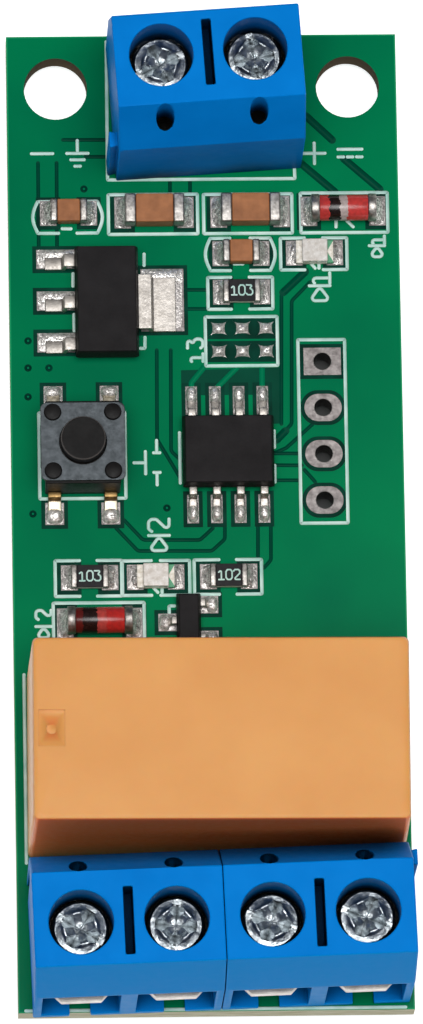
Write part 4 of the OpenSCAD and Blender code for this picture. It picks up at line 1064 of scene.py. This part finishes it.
# Relay.
# A cap of orange plastic with crisp edges is glued over a dark base plate. Inside, a coil on a white
# bobbin pulls an iron armature, and a carrier on the armature moves two contact blades.
case_orange = grained("case_orange", ("#E29E59", "#E8A660"), 4, (0.3, 0.42), 0.4, 0.002, gloss=0.14, others={
    "Subsurface Weight": 0.3, "Subsurface Radius": (1.0, 0.3, 0.1), "Subsurface Scale": 0.7 * MM})
dark_plastic = grained("dark_plastic", ("#131212", "#1C1B1B"), 0.5, (0.35, 0.48), 0.2, 0.003, gloss=0.08)
white_plastic = grained("white_plastic", ("#D9D6CB", "#E9E7DF"), 1.5, (0.4, 0.55), 0.2, 0.003)
contact_bronze = grained("contact_bronze", ("#A9814E", "#C79E66"), 0.8, (0.25, 0.4), 0.2, 0.004, metal=1)
soft_iron = grained("soft_iron", ("#7F8284", "#9DA0A2"), 0.8, (0.3, 0.45), 0.2, 0.005, metal=1)
spring_steel = grained("spring_steel", ("#B3B4B2", "#CBCCC9"), 0.6, (0.2, 0.3), 0.15, 0.003, metal=1)


def on_long_walls(tree):
    """The long walls, where the light that comes through the plastic is redder."""
    return span(unsigned(reading(tree, "Normal", "Y")), 0.3, 0.9)


# Painted light: the long walls of the case take a redder tone.
retone(case_orange, "#F2834A", on_long_walls)
# Painted shade darkens the case in narrow gaps and hollows.
retone(case_orange, "#2A0E06", painted_hole_shade(1.6, 0.46))
softened("relay_case", 0, case_orange, crease=20)
softened("relay_base", 0.05, dark_plastic)
softened("relay_pins", 0.04, contact_bronze)
softened("relay_bobbin", 0.08, white_plastic)
softened("relay_core", 0.05, soft_iron)
softened("relay_yoke", 0.06, soft_iron)
softened("relay_armature", 0.03, soft_iron, "armature")
softened("relay_carrier", 0.05, white_plastic, "armature")
softened("relay_blades", 0.02, contact_bronze, "armature")
wire_thickness = 0.08 * MM
waves_per_unit = 20
wire_relief = 0.03 * MM
winding, shader, place = start_material("winding_wire", {"Roughness": 0.3})
turns = after("ShaderNodeTexWave", {
    "Vector": place, "Scale": 1 / (wire_thickness * waves_per_unit)}, bands_direction="X").outputs[1]
feed(shader, "Base Color", two_tones(turns, ("#6E2A14", "#B4582C"), 0.2, 0.8))
emboss(shader, turns, wire_relief)
dress("relay_winding", winding)


# Push button.
# A dark moulded base with four legs of tinned brass, a steel cover held by four heat-formed posts,
# and a round plunger on a snap dome, which gives way when the plunger is pressed.
cover_steel = grained("cover_steel", ("#34393C", "#4C5155"), 0.45, (0.38, 0.52), 0.12, 0.004, metal=0.75)
leg_metal = grained("leg_metal", ("#B7AB90", "#DCD3BF"), 0.3, (0.35, 0.5), 0.15, 0.006, metal=1)
plunger_plastic = dark_plastic.copy()
plunger_plastic.name = "plunger_plastic"
bare_brass_from, bare_brass_to = 0.24 * MM, 0.42 * MM


def near_base(tree):
    """The upper part of a leg, where the tin is thin and the brass shows."""
    height = reading(tree, "Object", "Z")
    return span(height, board_top + bare_brass_from, board_top + bare_brass_to)


def painted_rim_highlight(tree):
    """The rounded rim of the plunger, made paler as a painted highlight."""
    rise = reading(tree, "Normal", "Z")
    return reckon("MINIMUM", span(rise, 0.2, 0.4), span(rise, 0.97, 0.86))


retone(leg_metal, "#8A7048", near_base)
# Painted highlight: the plunger's rim takes a paler tone.
retone(plunger_plastic, "#4F4C4A", painted_rim_highlight)
softened("button_base", 0.05, dark_plastic)
softened("button_legs", 0.04, leg_metal)
softened("button_cover", 0.03, cover_steel, corner=0.35)
dome = softened("button_dome", 0, spring_steel)
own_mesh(dome)
softened("button_plunger", 0.1, plunger_plastic, "button_plunger", steps=4)


# Moulded packages.
# Regulator, controller and transistor: tinned leads bent from a frame that is moulded into black
# epoxy, with a slight draft on the sides.
epoxy = grained("moulded_epoxy", ("#1A1819", "#232122"), 1.2, (0.4, 0.55), 0.1, 0.004, gloss=0.07)
lead_tin = grained("lead_tin", ("#A39D96", "#C4BEB7"), 0.4, (0.42, 0.58), 0.12, 0.01, metal=1)
for package in ("regulator", "controller", "transistor"):
    softened(f"{package}_body", 0.05, epoxy)
    softened(f"{package}_leads", 0.04, lead_tin)


# Ceramic chips.
# Four capacitors of brown ceramic and three resistors with a dark coat and a printed number, all
# with tinned metal ends dipped over the body.
brown = grained("brown_ceramic", ("#8F5A36", "#AE7147"), 0.7, (0.4, 0.55), 0.15, 0.005, gloss=0.2)
dipped_tin = grained("dipped_tin", ("#7E7A76", "#BBB6B0"), 0.25, (0.4, 0.55), 0.15, 0.015, metal=1)
for i in range(1, 5):
    softened(f"capacitor_{i}", 0.06, brown)
softened("capacitor_ends", 0.1, dipped_tin, steps=3)
softened("resistor_ends", 0.06, dipped_tin)


def zoned(name, low, high, axis, bands, wear, rough, gloss, ragged=0.0):
    """A finish in bands along an axis, (start as a share, colour), with specks of a wear colour."""
    made, shader, place = start_material(name, {"Roughness": rough, "Specular IOR Level": gloss})
    stray = span(speckle(place, 0.3 * MM), 0.2, 0.8, -ragged, ragged)
    along = reckon("ADD", split(place)[axis], stray)
    band = tones(span(along, low[axis], high[axis]), *bands, interpolation="CONSTANT")
    fine = speckle(place, 0.2 * MM)
    feed(shader, "Base Color", mix_tones(span(fine, 0.35, 0.7, 0.0, 0.35), band, wear))
    emboss(shader, fine, 0.004 * MM)
    return made


alumina = "#D6D0C6"
coat_black = "#201F21"
coat_thickness = 0.08 * MM
digit_height = 0.54
digit_step = 0.41
digit_width = 0.085 * MM
for i, number in ((1, "103"), (2, "103"), (3, "102")):
    node = f"resistor_{i}"
    low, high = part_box(node)
    bands = [(0, alumina), (1 - coat_thickness / (high.z - low.z), coat_black)]
    coat = zoned(f"{node}_coat", low, high, 2, bands, "#343234", rough=0.45, gloss=0.1)
    softened(node, 0.03, coat)
    left = (low.x + high.x) / 2 / MM - digit_step - 0.3 * digit_height
    bottom = (low.y + high.y) / 2 / MM - digit_height / 2
    paths = [path for place, digit in enumerate(number)
             for path in sign(digit, left + digit_step * place, bottom, digit_height)]
    lines(f"{node}_number", paths, high.z, digit_width, ink_film, 0.05 * MM, ink)


# Diodes and lights.
# Two glass diodes, a red glass tube with a dark band and metal caps, and two lights, a pale moulded
# base with a clear lens and a green mark at one end.
# On each tube the lighter band beside the dark band is a painted highlight.
for node, bands in (
        ("diode_1_glass", [(0, "#C23A36"), (0.2, "#17110F"), (0.42, "#B9A9A4"), (0.57, "#C93D3A")]),
        ("diode_2_glass", [(0, "#5E1512"), (0.14, "#1B0F0E"), (0.44, "#B8443E"), (0.62, "#BE2B27")])):
    low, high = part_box(node)
    glass = zoned(f"{node}_finish", low, high, 0, bands, "#3A2422", rough=0.22, gloss=0.35, ragged=0.13 * MM)
    softened(node, 0.04, glass)
softened("diode_caps", 0.06, dipped_tin)
lens_clear = grained("light_lens", ("#C9C0B4", "#F0ECE6"), 0.3, (0.2, 0.3), 0.2, 0.006, others={
    "Transmission Weight": 0.1})
base_tones = ("#CFC6B4", "#F1ECE2")
mark_green = "#3F9468"
mark_length = 0.34 * MM
mark_slope = 1.7
for i in (1, 2):
    node = f"light_{i}_base"
    low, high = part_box(node)
    base_finish, shader, place = start_material(f"{node}_finish", {"Roughness": 0.4})
    x, y = split(place)[:2]
    along = minus(x, high.x - mark_length)
    off_middle = unsigned(minus(y, (low.y + high.y) / 2))
    outside = reckon("GREATER_THAN", off_middle, times(along, mark_slope))
    green = times(outside, reckon("GREATER_THAN", along, 0.0))
    pale = two_tones(speckle(place, 0.2 * MM), base_tones, 0.35, 0.65)
    feed(shader, "Base Color", mix_tones(green, pale, mark_green))
    emboss(shader, speckle(place, 0.1 * MM), 0.004 * MM)
    softened(node, 0.03, base_finish)
    softened(f"light_{i}_lens", 0.06, lens_clear)
